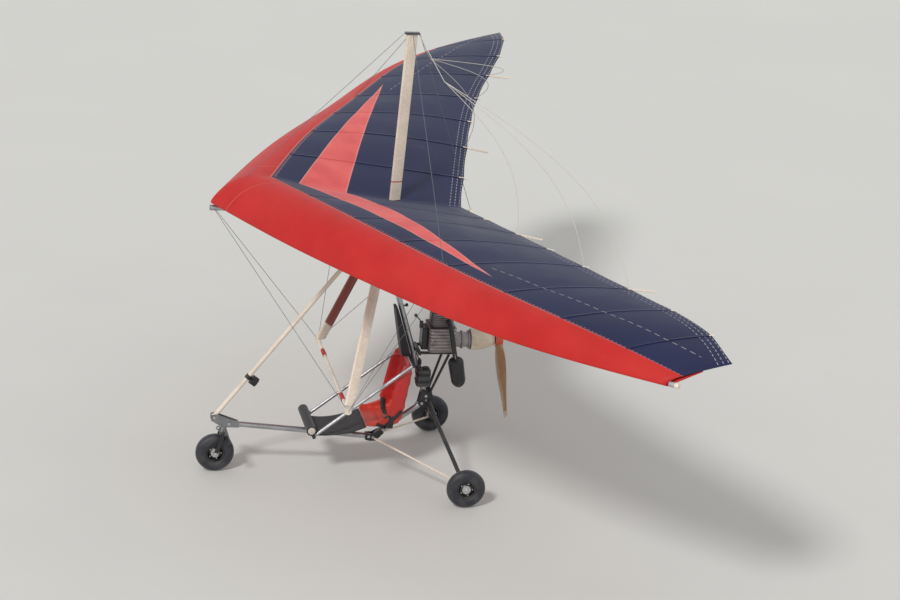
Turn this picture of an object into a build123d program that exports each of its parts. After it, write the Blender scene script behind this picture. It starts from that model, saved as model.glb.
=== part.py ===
"""Single-seat flex-wing microlight trike, parked on its three wheels.

Units are millimetres. +Z is up, the nose points to -Y and +X is the port side.
Lengths along the aircraft are stations, measured aft from the nose of the sail,
and the model's origin is on the ground at the middle of its length.
"""

import os
from math import atan2, cos, radians, sin

from build123d import *

os.makedirs("parts", exist_ok=True)

# Whole aircraft
overall_length = 3200
touch = 0.2  # gap left between two fixed pieces that seat on each other
running = 0.08  # radial clearance of a pin that turns in a bore

# Wheels
wheel_diameter = 320
tyre_width = 96
rim_diameter = 150
hub_diameter = 62
hub_length = 84
axle_diameter = 20
nose_axle_station = 160
rear_axle_station = 2110
half_track = 780

# Trike frame
tube_diameter = 46  # base tube, rear tube and mast
tube_wall = 3
strut_diameter = 36
plate_thickness = 5
steering_tilt = 16.5
steering_length = 270  # from the nose axle up to the top of the steering head
head_length = 84
nose_bolt = (137, 475)  # station and height of the front strut's foot
base_front = (262, 417)
base_joint = (1466, 290)
rear_joint = (1892, 615)
hang_bolt = (1402, 2150)
pitch_rise = 55  # from the roll pin up to the wing's pitch bolt
leg_diameter = 34
drag_strut_diameter = 18
tow_bore = 20
tow_eye_thickness = 10
tow_eye_rise = 24  # from the foot of the steering head up to the eye's middle

# Seat
seat_width = 400
seat_wall = 9
seat_tube_diameter = 28
seat_cross_diameter = 30
seat_front_station = 935
seat_cross_height = 1010
seat_roll_diameter = 84
sling_thickness = 7
sling_sag = 34
back_pad_width = 150
back_pad_height = 415

# Engine and propeller
prop_height = 1150
prop_station = 2462
prop_radius = 690
shaft_diameter = 30
bearer_height = 1070
bearer_spread = 95
bearer_diameter = 25
bearer_rear = 2075
silencer_diameter = 128
silencer_length = 262
pipe_diameter = 40
tank_height = 150

# Wing
keel_nose = (14, 2288)
keel_tail = (2160, 2254)
kingpost_station = 1498
kingpost_top = (1546, 3760)
apex_station = 1470
corner_spread = 740
corner = (1100, 840)
base_bar_diameter = 28
skin = 8
pocket_width = 8
wire_diameter = 4


def at(x, station, z):
    """A point given by its side offset, its station aft of the nose and its height."""
    return Vector(x, station - overall_length / 2, z)


def mirrored(point):
    """The same point on the other side of the aircraft."""
    return Vector(-point.X, point.Y, point.Z)


def between(a, b, station):
    """The height at a station of the straight line through two (station, height) points."""
    return a[1] + (b[1] - a[1]) * (station - a[0]) / (b[0] - a[0])


def bar(a, b, diameter, bore=0, mode=Mode.ADD):
    """A straight round bar or tube from a to b, inside the current part."""
    run = b - a
    with BuildSketch(Plane(origin=a, z_dir=run)) as ring:
        Circle(diameter / 2)
        if bore:
            Circle(bore / 2, mode=Mode.SUBTRACT)
    extrude(ring.sketch, amount=run.length, mode=mode)


def fairing(a, b, chord, thickness):
    """A streamlined strut from a to b, its blunt edge towards the nose."""
    run = b - a
    aft = Vector(0, 1, 0)
    x_dir = aft - run.normalized() * aft.dot(run.normalized())
    with BuildSketch(Plane(origin=a, x_dir=x_dir, z_dir=run)) as section:
        with BuildLine():
            shoulder, edge, half = -chord * 0.18, chord * 0.56, thickness / 2
            nose = ThreePointArc((shoulder, half), (-chord * 0.42, 0), (shoulder, -half))
            ThreePointArc(nose @ 0, (chord * 0.24, thickness * 0.37), (edge, 1.5))
            Line((edge, 1.5), (edge, -1.5))
            ThreePointArc((edge, -1.5), (chord * 0.24, -thickness * 0.37), nose @ 1)
        make_face()
    extrude(section.sketch, amount=run.length)


def side_profile(points, width, x=0, mode=Mode.ADD):
    """A plate of the outline given by (station, height) points, centred on x."""
    with BuildSketch(Plane(origin=(x - width / 2, 0, 0), x_dir=(0, 1, 0), z_dir=(1, 0, 0))) as plate:
        with BuildLine():
            Polyline([(s - overall_length / 2, z) for s, z in points], close=True)
        make_face()
    extrude(plate.sketch, amount=width, mode=mode)


# The plates that join the frame tubes stand just off the tubes' sides
tube_r = tube_diameter / 2
plate_offset = tube_r + touch + plate_thickness / 2
plate_face = plate_offset + plate_thickness / 2
eye_length = tube_diameter + touch

# Steering axis, tilted back from the nose axle
nose_axle = at(0, nose_axle_station, wheel_diameter / 2)
steering_up = Vector(0, sin(radians(steering_tilt)), cos(radians(steering_tilt)))
steering_aft = Vector(0, cos(radians(steering_tilt)), -sin(radians(steering_tilt)))
head_bottom = nose_axle + steering_up * (steering_length - head_length)
head_top = nose_axle + steering_up * steering_length

# Wheels: a disc rim with its hub, and a balloon tyre seated on it, its round drawn as flat bands
rim_r = rim_diameter / 2
wheel_r = wheel_diameter / 2
half_tyre = [  # radius, half width
    (rim_r, tyre_width * 0.34),
    (rim_r + 16, tyre_width * 0.48),
    (wheel_r - 30, tyre_width * 0.47),
    (wheel_r - 9, tyre_width * 0.29),
    (wheel_r, tyre_width * 0.1),
]
for name, centre in (
    ("nose", nose_axle),
    ("rear_left", at(half_track, rear_axle_station, wheel_diameter / 2)),
    ("rear_right", at(-half_track, rear_axle_station, wheel_diameter / 2)),
):
    across = Plane(origin=centre, x_dir=(0, 0, 1), z_dir=(0, 1, 0))
    half_rim = [
        (axle_diameter / 2 + running, hub_length / 2),
        (hub_diameter / 2, hub_length / 2),
        (hub_diameter / 2 + 2, hub_length / 2 - 12),
        (rim_r - 14, 9),
        (rim_r - 10, tyre_width * 0.36),
        (rim_r, tyre_width * 0.36),
    ]
    with BuildPart() as rim:
        with BuildSketch(across):
            with BuildLine():
                Polyline(half_rim + [(r, -w) for r, w in reversed(half_rim)], close=True)
            make_face()
        revolve(axis=Axis(centre, (1, 0, 0)))
    rim.part.label = f"{name}_rim"
    export_step(rim.part, f"parts/{name}_rim.step")

    with BuildPart() as tyre:
        with BuildSketch(across):
            with BuildLine():
                Polyline(half_tyre + [(r, -w) for r, w in reversed(half_tyre)], close=True)
            make_face()
        revolve(axis=Axis(centre, (1, 0, 0)))
    tyre.part.label = f"{name}_tyre"
    export_step(tyre.part, f"parts/{name}_tyre.step")

# Nose fork: two flat legs, a crown, the steering pin, the axle and the foot bar
fork_gap = tyre_width / 2 + 10
fork_leg = 8
crown_low = nose_axle + steering_up * (wheel_diameter / 2 + 14)
crown_high = head_bottom - steering_up * 0.5
steering_pin = 24
foot_bar = crown_low + steering_aft * 46
with BuildPart() as fork:
    leg_length = (crown_low - nose_axle).length
    for side in (-1, 1):
        middle = nose_axle + steering_up * leg_length / 2 + Vector(side * (fork_gap + fork_leg / 2), 0, 0)
        with BuildSketch(Plane(origin=middle, x_dir=steering_up, z_dir=(1, 0, 0))):
            SlotCenterToCenter(leg_length, 34)
        extrude(amount=fork_leg / 2, both=True)
    with BuildSketch(Plane(origin=crown_low, x_dir=(1, 0, 0), z_dir=steering_up)):
        with Locations((0, 12)):
            Rectangle(2 * (fork_gap + fork_leg), 70)
    extrude(amount=(crown_high - crown_low).length)
    bar(crown_high, head_top + steering_up * 10, steering_pin)
    axle_reach = Vector(fork_gap + fork_leg + 12, 0, 0)
    bar(nose_axle - axle_reach, nose_axle + axle_reach, axle_diameter)
    bar(foot_bar - Vector(230, 0, 0), foot_bar + Vector(230, 0, 0), 24)
fork.part.label = "nose_fork"
export_step(fork.part, "parts/nose_fork.step")

# Steering head: the sleeve that the fork's pin turns in, with the tow eye on its front
steering_bore = steering_pin + 2 * running
tow_eye_foot = head_bottom + steering_up * tow_eye_rise
tow_eye_centre = tow_eye_foot - steering_aft * (tube_r + tow_bore)
tow_eye_r = tow_bore / 2 + 8
across_half = Vector(tow_eye_thickness / 2, 0, 0)
with BuildPart() as steering_head:
    bar(head_bottom, head_top, tube_diameter)
    bar(tow_eye_centre - across_half, tow_eye_centre + across_half, 2 * tow_eye_r)
    neck = (tow_eye_centre + tow_eye_foot) / 2
    with BuildSketch(Plane(origin=neck, x_dir=steering_aft, z_dir=(1, 0, 0))) as neck_web:
        Rectangle(tube_r + tow_bore, 2 * tow_eye_r - 8)
    extrude(neck_web.sketch, amount=tow_eye_thickness / 2, both=True)
    bar(tow_eye_centre - across_half, tow_eye_centre + across_half, tow_bore, mode=Mode.SUBTRACT)
    bar(head_bottom, head_top, steering_bore, mode=Mode.SUBTRACT)
steering_head.part.label = "steering_head"
export_step(steering_head.part, "parts/steering_head.step")

# Nose plates: one each side of the head, the base tube and the front strut's foot
with BuildPart() as nose_plates:
    for side in (-1, 1):
        side_profile(
            [(112, 450), (112, 498), (150, 506), (340, 432), (346, 386), (205, 392)],
            plate_thickness,
            side * plate_offset,
        )
nose_plates.part.label = "nose_plates"
export_step(nose_plates.part, "parts/nose_plates.step")

# Front strut, from the nose bolt to the mast head, with a cross eye at each end
strut_foot = at(0, *nose_bolt)
mast_head_point = at(0, *hang_bolt)
strut_way = (mast_head_point - strut_foot).normalized()
strut_top = mast_head_point - strut_way * 84
eye_half = Vector(eye_length / 2, 0, 0)
with BuildPart() as front_strut:
    bar(strut_foot, strut_top, strut_diameter)
    bar(strut_foot - eye_half, strut_foot + eye_half, strut_diameter)
    bar(strut_top - eye_half, strut_top + eye_half, strut_diameter)
front_strut.part.label = "front_strut"
export_step(front_strut.part, "parts/front_strut.step")

# Base tube, nearly level under the pilot's legs
with BuildPart() as base_tube:
    base_end = base_joint[0] - 14
    base_end_point = at(0, base_end, between(base_front, base_joint, base_end))
    bar(at(0, *base_front), base_end_point, tube_diameter, tube_diameter - 2 * tube_wall)
base_tube.part.label = "base_tube"
export_step(base_tube.part, "parts/base_tube.step")

# Joint plates where the frame turns up to the mast foot
base_plate_outline = [
    (1402, 320),
    (1400, 270),
    (1440, 258),
    (1490, 260),
    (1556, 328),
    (1530, 360),
    (1456, 322),
]
with BuildPart() as base_plates:
    for side in (-1, 1):
        side_profile(base_plate_outline, plate_thickness, side * plate_offset)
base_plates.part.label = "base_plates"
export_step(base_plates.part, "parts/base_plates.step")

# Rear tube, up to the mast foot
with BuildPart() as rear_tube:
    rear_low = at(0, base_joint[0] + 20, base_joint[1] + 14)
    rear_high = at(0, rear_joint[0] - 36, rear_joint[1] - 28)
    bar(rear_low, rear_high, tube_diameter, tube_diameter - 2 * tube_wall)
rear_tube.part.label = "rear_tube"
export_step(rear_tube.part, "parts/rear_tube.step")

# Mast
mast_low = at(0, rear_joint[0] - 5, rear_joint[1] + 16)
mast_way = (mast_head_point - mast_low).normalized()
mast_top = mast_head_point - mast_way * 66
with BuildPart() as mast:
    bar(mast_low, mast_top, tube_diameter, tube_diameter - 2 * tube_wall)
mast.part.label = "mast"
export_step(mast.part, "parts/mast.step")


def mast_station(z):
    """The station of the mast's axis at a height."""
    return between((mast_low.Z, mast_low.Y), (mast_head_point.Z, mast_head_point.Y), z) + overall_length / 2


mast_lean = atan2(mast_low.Y - mast_head_point.Y, mast_head_point.Z - mast_low.Z)


# Landing gear leg line on the port side
leg_top = at(42, rear_joint[0] + 16, rear_joint[1] - 12)
leg_foot = at(half_track - hub_length / 2 - 38, rear_axle_station, wheel_diameter / 2)
leg_way = (leg_foot - leg_top).normalized()
socket_length = 130
socket_wall = 5

# Mast foot: the plates that take the rear tube and the mast, with the sockets of the legs
with BuildPart() as mast_foot:
    for side in (-1, 1):
        side_profile(
            [(1822, 588), (1852, 552), (1934, 556), (1956, 600), (1930, 712), (1846, 716)],
            plate_thickness,
            side * plate_offset,
        )
    for turn in (lambda p: p, mirrored):
        bar(turn(leg_top - leg_way * 8), turn(leg_top + leg_way * socket_length), leg_diameter + 2 * socket_wall)
    inner = at(0, rear_joint[0] + 10, rear_joint[1])
    with Locations(inner):
        Box(tube_diameter + 2 * touch, 400, 400, mode=Mode.SUBTRACT)
    for turn in (lambda p: p, mirrored):
        bar(
            turn(leg_top),
            turn(leg_top + leg_way * (socket_length + 20)),
            leg_diameter + 2 * touch,
            mode=Mode.SUBTRACT,
        )
mast_foot.part.label = "mast_foot"
export_step(mast_foot.part, "parts/mast_foot.step")

# Gear legs with their stub axles, and the drag struts that hold them fore and aft
stub_inner = at(half_track - hub_length / 2 - 66, rear_axle_station, wheel_diameter / 2)
stub_shoulder = at(half_track - hub_length / 2 - 6, rear_axle_station, wheel_diameter / 2)
stub_outer = at(half_track + hub_length / 2 + 14, rear_axle_station, wheel_diameter / 2)
with BuildPart() as gear_legs:
    for turn in (lambda p: p, mirrored):
        bar(turn(leg_top), turn(leg_foot), leg_diameter)
        bar(turn(stub_inner), turn(stub_shoulder), 44)
        bar(turn(stub_shoulder), turn(stub_outer), axle_diameter)
gear_legs.part.label = "gear_legs"
export_step(gear_legs.part, "parts/gear_legs.step")

drag_front = at(plate_face + 9, base_joint[0] + 10, base_joint[1] - 4)
drag_rear = at(half_track - hub_length / 2 - 52, rear_axle_station - 30, wheel_diameter / 2 + 6)
with BuildPart() as drag_struts:
    for turn in (lambda p: p, mirrored):
        bar(turn(drag_front), turn(drag_rear), drag_strut_diameter)
drag_struts.part.label = "drag_struts"
export_step(drag_struts.part, "parts/drag_struts.step")

# Seat frame: a cross tube on the base tube, another on the mast, two side tubes between them,
# and the padded roll that lies on the side tubes' front ends
base_slope = atan2(base_front[1] - base_joint[1], base_joint[0] - base_front[0])
seat_cross_r = seat_cross_diameter / 2
seat_front_height = between(base_front, base_joint, seat_front_station) + (
    tube_r + seat_cross_r + touch
) / cos(base_slope)
seat_rear_station = mast_station(seat_cross_height) - (tube_r + seat_cross_r + touch) / cos(mast_lean)
seat_tube_spread = seat_width / 2 + seat_tube_diameter / 2 + 2 * touch
seat_reach = seat_tube_spread + seat_tube_diameter / 2 + 8
seat_ends = ((seat_front_station, seat_front_height), (seat_rear_station, seat_cross_height))
with BuildPart() as seat_cross_tubes:
    for end in seat_ends:
        bar(at(-seat_reach, *end), at(seat_reach, *end), seat_cross_diameter)
seat_cross_tubes.part.label = "seat_cross_tubes"
export_step(seat_cross_tubes.part, "parts/seat_cross_tubes.step")

seat_way = (at(0, *seat_ends[1]) - at(0, *seat_ends[0])).normalized()
seat_up = Vector(0, -seat_way.Z, seat_way.Y)
with BuildPart() as seat_side_tubes:
    for side in (-1, 1):
        low, high = (at(side * seat_tube_spread, *end) for end in seat_ends)
        clear = seat_way * (seat_cross_r + touch)
        bar(low + clear, high - clear, seat_tube_diameter)
seat_side_tubes.part.label = "seat_side_tubes"
export_step(seat_side_tubes.part, "parts/seat_side_tubes.step")

roll_centre = at(0, *seat_ends[0]) + seat_way * 16 + seat_up * (
    (seat_roll_diameter + seat_tube_diameter) / 2 + touch
)
with BuildPart() as seat_roll:
    roll_half = Vector(seat_reach, 0, 0)
    bar(roll_centre - roll_half, roll_centre + roll_half, seat_roll_diameter)
seat_roll.part.label = "seat_roll"
export_step(seat_roll.part, "parts/seat_roll.step")

# Seat sling: cloth that sags from the front cross tube back to the lip of the bucket
seat_lip = (1372, 448)
sling_front = Vector(seat_front_station + seat_cross_r + touch, seat_front_height - sling_thickness / 2)
sling_rear = Vector(seat_lip[0] - touch, seat_lip[1])
sling_middle = (sling_front + sling_rear) / 2 - Vector(0, sling_sag)
with BuildPart() as sling:
    with BuildSketch(Plane(origin=at(-seat_width / 2, 0, 0), x_dir=(0, 1, 0), z_dir=(1, 0, 0))) as strip:
        with BuildLine():
            thick = Vector(0, sling_thickness)
            low = ThreePointArc(sling_front, sling_middle, sling_rear)
            top = ThreePointArc(sling_front + thick, sling_middle + thick, sling_rear + thick)
            Line(low @ 0, top @ 0)
            Line(low @ 1, top @ 1)
        make_face()
    extrude(strip.sketch, amount=seat_width)
sling.part.label = "seat_sling"
export_step(sling.part, "parts/seat_sling.step")

# Seat: a bucket with a reclined back and side wings, open at the front and top
seat_outer = [
    seat_lip,
    (1400, 430),
    (1640, 462),
    (1668, 478),
    (1732, seat_cross_height - 80),
    (1702, seat_cross_height + 4),
    (1640, seat_cross_height + 6),
    (1544, 560),
    (1500, 506),
    (1372, 474),
]
seat_inner = [
    (1330, 456),
    (1400, 440),
    (1634, 472),
    (1658, 486),
    (1722, seat_cross_height - 82),
    (1686, seat_cross_height + 30),
    (1330, seat_cross_height + 30),
]
with BuildPart() as seat:
    side_profile(seat_outer, seat_width)
    side_profile(seat_inner, seat_width - 2 * seat_wall, mode=Mode.SUBTRACT)
seat.part.label = "seat_bucket"
export_step(seat.part, "parts/seat_bucket.step")

# Back pad, standing on the seat's cross tube against the mast, thick below and thin at its top
pad_bottom = seat_cross_height + seat_cross_r + touch
pad_top = pad_bottom + back_pad_height
pad_gap = tube_r / cos(mast_lean) + 2 * touch
pad_rear_low = mast_station(pad_bottom) - pad_gap
pad_rear_top = mast_station(pad_top) - pad_gap
with BuildPart() as back_pad:
    side_profile(
        [
            (pad_rear_low - 96, pad_bottom),
            (pad_rear_low, pad_bottom),
            (pad_rear_top, pad_top),
            (pad_rear_top - 24, pad_top),
            (pad_rear_top - 34, pad_top - 16),
        ],
        back_pad_width,
    )
back_pad.part.label = "back_pad"
export_step(back_pad.part, "parts/back_pad.step")

# Instrument with its clamp on the front strut
clamp_point = strut_foot + strut_way * 440
strut_aft = Vector(0, strut_way.Z, -strut_way.Y)
dial_diameter = 78
clamp_half = strut_way * 17
clamp_bore = strut_diameter + 2 * touch
with BuildPart() as instrument:
    bar(clamp_point - clamp_half, clamp_point + clamp_half, strut_diameter + 14, clamp_bore)
    bar(clamp_point + strut_aft * (clamp_bore / 2 + 2), clamp_point + strut_aft * 40, 26)
    bar(clamp_point + strut_aft * 34, clamp_point + strut_aft * 86, dial_diameter)
instrument.part.label = "instrument"
export_step(instrument.part, "parts/instrument.step")

# Fuel tank strapped to the port side of the mast, with rounded edges all round
tank_base, tank_width, tank_length = 775, 100, 116
tank_middle = tank_base + tank_height / 2
tank_place = at(tube_r + touch + tank_width / 2, mast_station(tank_middle) + 20, tank_middle)
with BuildPart() as tank:
    with BuildSketch(Plane.XY.offset(tank_base)):
        with Locations((tank_place.X, tank_place.Y)):
            RectangleRounded(tank_width, tank_length, 22)
    extrude(amount=tank_height)
    fillet(tank.faces().filter_by(Axis.Z).edges(), 12)
tank.part.label = "fuel_tank"
export_step(tank.part, "parts/fuel_tank.step")

# Engine bearers: two tubes and the cross tube that seats on the mast's rear
bearer_cross_diameter = 32
bearer_front = mast_station(bearer_height) + (tube_r + bearer_cross_diameter / 2) / cos(mast_lean) + 2 * touch
with BuildPart() as bearers:
    for side in (-1, 1):
        x = side * bearer_spread
        bar(at(x, bearer_front, bearer_height), at(x, bearer_rear, bearer_height), bearer_diameter)
    reach = bearer_spread + bearer_diameter / 2 + 6
    bar(at(-reach, bearer_front, bearer_height), at(reach, bearer_front, bearer_height), bearer_cross_diameter)
bearers.part.label = "engine_bearers"
export_step(bearers.part, "parts/engine_bearers.step")

engine_strut_diameter = 22
with BuildPart() as engine_struts:
    for side in (-1, 1):
        low = at(side * (plate_face + engine_strut_diameter / 2 + touch), 1912, 690)
        high = at(side * bearer_spread, bearer_rear - 40, bearer_height - bearer_diameter / 2 - 4.5)
        bar(low, high, engine_strut_diameter)
engine_struts.part.label = "engine_struts"
export_step(engine_struts.part, "parts/engine_struts.step")

# Engine: the ribbed crankcase on the bearers, and the finned cylinder with its head on top
engine_station = 1972
crank_length, crank_width, crank_height = 226, 240, 200
crank_base = bearer_height + bearer_diameter / 2
crank_rear = engine_station + crank_length / 2
engine_place = (0, engine_station - overall_length / 2)
rib_count, rib_thickness, rib_depth = 6, 8, 12
rib_pitch = crank_height / (rib_count + 1)
with BuildPart() as crankcase:
    with BuildSketch(Plane.XY.offset(crank_base)):
        with Locations(engine_place):
            RectangleRounded(crank_width - 2 * rib_depth, crank_length - 2 * rib_depth, 18)
    extrude(amount=crank_height)
    rib_heights = [crank_base + rib_pitch * (i + 1) - rib_thickness / 2 for i in range(rib_count)]
    for rib_height in (crank_base, *rib_heights, crank_base + crank_height - rib_thickness):
        with BuildSketch(Plane.XY.offset(rib_height)):
            with Locations(engine_place):
                RectangleRounded(crank_width, crank_length, 22)
        extrude(amount=rib_thickness)
crankcase.part.label = "crankcase"
export_step(crankcase.part, "parts/crankcase.step")

fin_pitch, fin_thickness, fin_count = 17, 5, 7
fin_width = 176
cylinder_base = crank_base + crank_height
head_base = cylinder_base + 10 + fin_count * fin_pitch
head_fins, head_fin_thickness = 5, 7
with BuildPart() as cylinder:
    with BuildSketch(Plane.XY.offset(cylinder_base)):
        with Locations(engine_place):
            RectangleRounded(122, 136, 34)
    extrude(amount=head_base - cylinder_base)
    for i in range(fin_count):
        with BuildSketch(Plane.XY.offset(cylinder_base + 10 + i * fin_pitch)):
            with Locations(engine_place):
                RectangleRounded(fin_width, fin_width + 2, 26)
        extrude(amount=fin_thickness)
    with BuildSketch(Plane.XY.offset(head_base)):
        with Locations(engine_place):
            RectangleRounded(fin_width - 6, fin_width - 4, 30)
    extrude(amount=12)
    with BuildSketch(Plane.XY.offset(head_base)):
        with Locations(engine_place):
            with GridLocations((fin_width - 30) / (head_fins - 1), 0, head_fins, 1):
                Rectangle(head_fin_thickness, fin_width - 36)
    extrude(amount=34)
cylinder.part.label = "cylinder"
export_step(cylinder.part, "parts/cylinder.step")

# Intake box on the crankcase's front face
intake_length, intake_width, intake_height = 50, 130, 184
intake_rear = engine_station - crank_length / 2 - touch
with BuildPart() as intake:
    with BuildSketch(Plane.XY.offset(crank_base + 4)):
        with Locations((0, intake_rear - intake_length / 2 - overall_length / 2)):
            RectangleRounded(intake_width, intake_length, 12)
    extrude(amount=intake_height)
    fillet(intake.faces().sort_by(Axis.Z)[-1].edges(), 8)
intake.part.label = "intake_box"
export_step(intake.part, "parts/intake_box.step")

# Propeller drive: the case behind the engine, the shaft housing and the shaft's free end
shaft_axis = Axis(at(0, 0, prop_height), (0, 1, 0))
case_rear = 2215
housing_rear = 2425
case_diameter = 150
case_flange = 12
with BuildPart() as drive_case:
    bar(at(0, crank_rear, prop_height), at(0, case_rear, prop_height), case_diameter - 2 * case_flange)
    for flange in (crank_rear, (crank_rear + case_rear - case_flange) / 2, case_rear - case_flange):
        bar(at(0, flange, prop_height), at(0, flange + case_flange, prop_height), case_diameter)
drive_case.part.label = "drive_case"
export_step(drive_case.part, "parts/drive_case.step")

# The shaft housing swells behind the case and narrows to the shaft, with three lobes at its foot
housing_r = 84
lobe_count, lobe_r, lobe_length = 3, 17, 60
shaft_end = prop_station + 34
with BuildPart() as housing:
    with BuildSketch(Plane(origin=at(0, 0, prop_height), x_dir=(0, 1, 0), z_dir=(1, 0, 0))):
        with BuildLine():
            Polyline((case_rear, 0), (case_rear, housing_r))
            ThreePointArc((case_rear, housing_r), (case_rear + 115, housing_r - 4), (housing_rear, 42))
            Polyline((housing_rear, 42), (housing_rear, shaft_diameter / 2))
            Polyline((housing_rear, shaft_diameter / 2), (shaft_end, shaft_diameter / 2))
            Polyline((shaft_end, shaft_diameter / 2), (shaft_end, 0), (case_rear, 0))
        make_face()
    revolve(axis=shaft_axis)
    with BuildSketch(Plane(origin=at(0, case_rear, prop_height), x_dir=(1, 0, 0), z_dir=(0, 1, 0))):
        with PolarLocations(housing_r - 6, lobe_count, start_angle=30):
            Circle(lobe_r)
    extrude(amount=lobe_length)
housing.part.label = "shaft_housing"
export_step(housing.part, "parts/shaft_housing.step")

# Silencer on the port side, a turned can with domed ends, and the exhaust pipe from the cylinder
silencer_top = at(176, 2072, 1058)
silencer_down = Vector(0, 52, -252).normalized()
silencer_up = -silencer_down
silencer_r = silencer_diameter / 2
with BuildPart() as silencer:
    with BuildSketch(Plane(origin=silencer_top, x_dir=silencer_down, z_dir=(1, 0, 0))):
        with BuildLine():
            Line((0, 0), (0, pipe_diameter / 2 + 6))
            ThreePointArc((0, pipe_diameter / 2 + 6), (10, silencer_r * 0.75), (36, silencer_r))
            Line((36, silencer_r), (silencer_length - 74, silencer_r * 0.94))
            ThreePointArc(
                (silencer_length - 74, silencer_r * 0.94),
                (silencer_length - 24, silencer_r * 0.68),
                (silencer_length, silencer_r * 0.2),
            )
            Line((silencer_length, silencer_r * 0.2), (silencer_length, 0))
            Line((silencer_length, 0), (0, 0))
        make_face()
    revolve(axis=Axis(silencer_top, silencer_down))
silencer.part.label = "silencer"
export_step(silencer.part, "parts/silencer.step")

port_height = cylinder_base + 62
pipe_corner = silencer_top + silencer_up * ((port_height - silencer_top.Z) / silencer_up.Z)
port_face = Vector(fin_width / 2 + touch, pipe_corner.Y, pipe_corner.Z)
with BuildPart() as exhaust:
    with BuildLine() as pipe_path:
        FilletPolyline(port_face, pipe_corner, silencer_top + silencer_up * touch, radius=44)
    with BuildSketch(Plane(origin=port_face, z_dir=(1, 0, 0))):
        Circle(pipe_diameter / 2)
    sweep()
exhaust.part.label = "exhaust_pipe"
export_step(exhaust.part, "parts/exhaust_pipe.step")

# Propeller: a hub on the shaft and two twisted blades
blade_angle = -45  # how far the port blade stands above the level
blade_stations = [  # radius, chord, thickness, pitch angle
    (46, 62, 30, 52),
    (200, 112, 17, 36),
    (450, 96, 10, 22),
    (prop_radius, 58, 5, 15),
]
hub_front = housing_rear + 6
with BuildPart() as propeller:
    bar(at(0, hub_front, prop_height), at(0, prop_station + 30, prop_height), 120)
    for turned in (blade_angle, blade_angle + 180):
        outward = Vector(cos(radians(turned)), 0, sin(radians(turned)))
        across = Vector(-outward.Z, 0, outward.X)
        blade = []
        for radius, chord, thickness, pitch in blade_stations:
            section = Plane(
                origin=at(0, prop_station, prop_height) + outward * radius,
                x_dir=across * cos(radians(pitch)) + Vector(0, sin(radians(pitch)), 0),
                z_dir=outward,
            )
            with BuildSketch(section) as blade_section:
                with BuildLine():
                    ThreePointArc((-chord / 2, 0), (0, thickness * 0.8), (chord / 2, 0))
                    ThreePointArc((chord / 2, 0), (0, -thickness * 0.2), (-chord / 2, 0))
                make_face()
            blade.append(blade_section.sketch)
        loft(blade)
    shaft_bore = shaft_diameter + 2 * running
    bar(at(0, hub_front - 1, prop_height), at(0, prop_station + 34, prop_height), shaft_bore, mode=Mode.SUBTRACT)
propeller.part.label = "propeller"
export_step(propeller.part, "parts/propeller.step")

# Mast head: plates over the mast's and the strut's tops, and two lugs that carry the roll pin
lug_gap, lug_thickness = 53, 12
roll_pin = 16
roll_pin_half = lug_gap / 2 + lug_thickness
with BuildPart() as mast_head:
    for side in (-1, 1):
        side_profile(
            [(1330, 2058), (1372, 2030), (1446, 2030), (1450, 2112), (1350, 2112)],
            plate_thickness,
            side * plate_offset,
        )
    head_top_z = 2112
    with Locations(at(0, hang_bolt[0], head_top_z - 5)):
        Box(2 * (plate_face), 100, 10)
    for side in (-1, 1):
        y = at(0, hang_bolt[0], 0).Y + side * (lug_gap / 2 + lug_thickness / 2)
        with BuildSketch(Plane(origin=(0, y, 0), x_dir=(1, 0, 0), z_dir=(0, -1, 0))):
            with BuildLine():
                Polyline((-24, head_top_z - 2), (-20, hang_bolt[1]))
                ThreePointArc((-20, hang_bolt[1]), (0, hang_bolt[1] + 20), (20, hang_bolt[1]))
                Polyline((20, hang_bolt[1]), (24, head_top_z - 2), (-24, head_top_z - 2))
            make_face()
        extrude(amount=lug_thickness / 2, both=True)
    pin_half = Vector(0, roll_pin_half, 0)
    bar(mast_head_point - pin_half, mast_head_point + pin_half, roll_pin)
mast_head.part.label = "mast_head"
export_step(mast_head.part, "parts/mast_head.step")

# Hang block: turns in roll on the mast head's pin, and carries the wing's pitch bolt
pitch_height = hang_bolt[1] + pitch_rise
pitch_bolt_point = at(0, hang_bolt[0], pitch_height)
pitch_bolt_diameter = 14
hang_block_half = tube_r - 0.3
bolt_half = Vector(plate_face + 10, 0, 0)
with BuildPart() as hang_block:
    with Locations(at(0, hang_bolt[0], (hang_bolt[1] - 22 + pitch_height + 16) / 2)):
        Box(2 * hang_block_half, lug_gap - 1, pitch_height + 16 - hang_bolt[1] + 22)
    chamfer(hang_block.edges().filter_by(Axis.X).group_by(Axis.Z)[-1], 8)
    bar(mast_head_point - pin_half, mast_head_point + pin_half, roll_pin + 2 * running, mode=Mode.SUBTRACT)
    bar(pitch_bolt_point - bolt_half, pitch_bolt_point + bolt_half, pitch_bolt_diameter)
hang_block.part.label = "hang_block"
export_step(hang_block.part, "parts/hang_block.step")

# Keel tube
with BuildPart() as keel:
    bar(at(0, *keel_nose), at(0, *keel_tail), tube_diameter, tube_diameter - 2 * tube_wall)
keel.part.label = "keel_tube"
export_step(keel.part, "parts/keel_tube.step")

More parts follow.
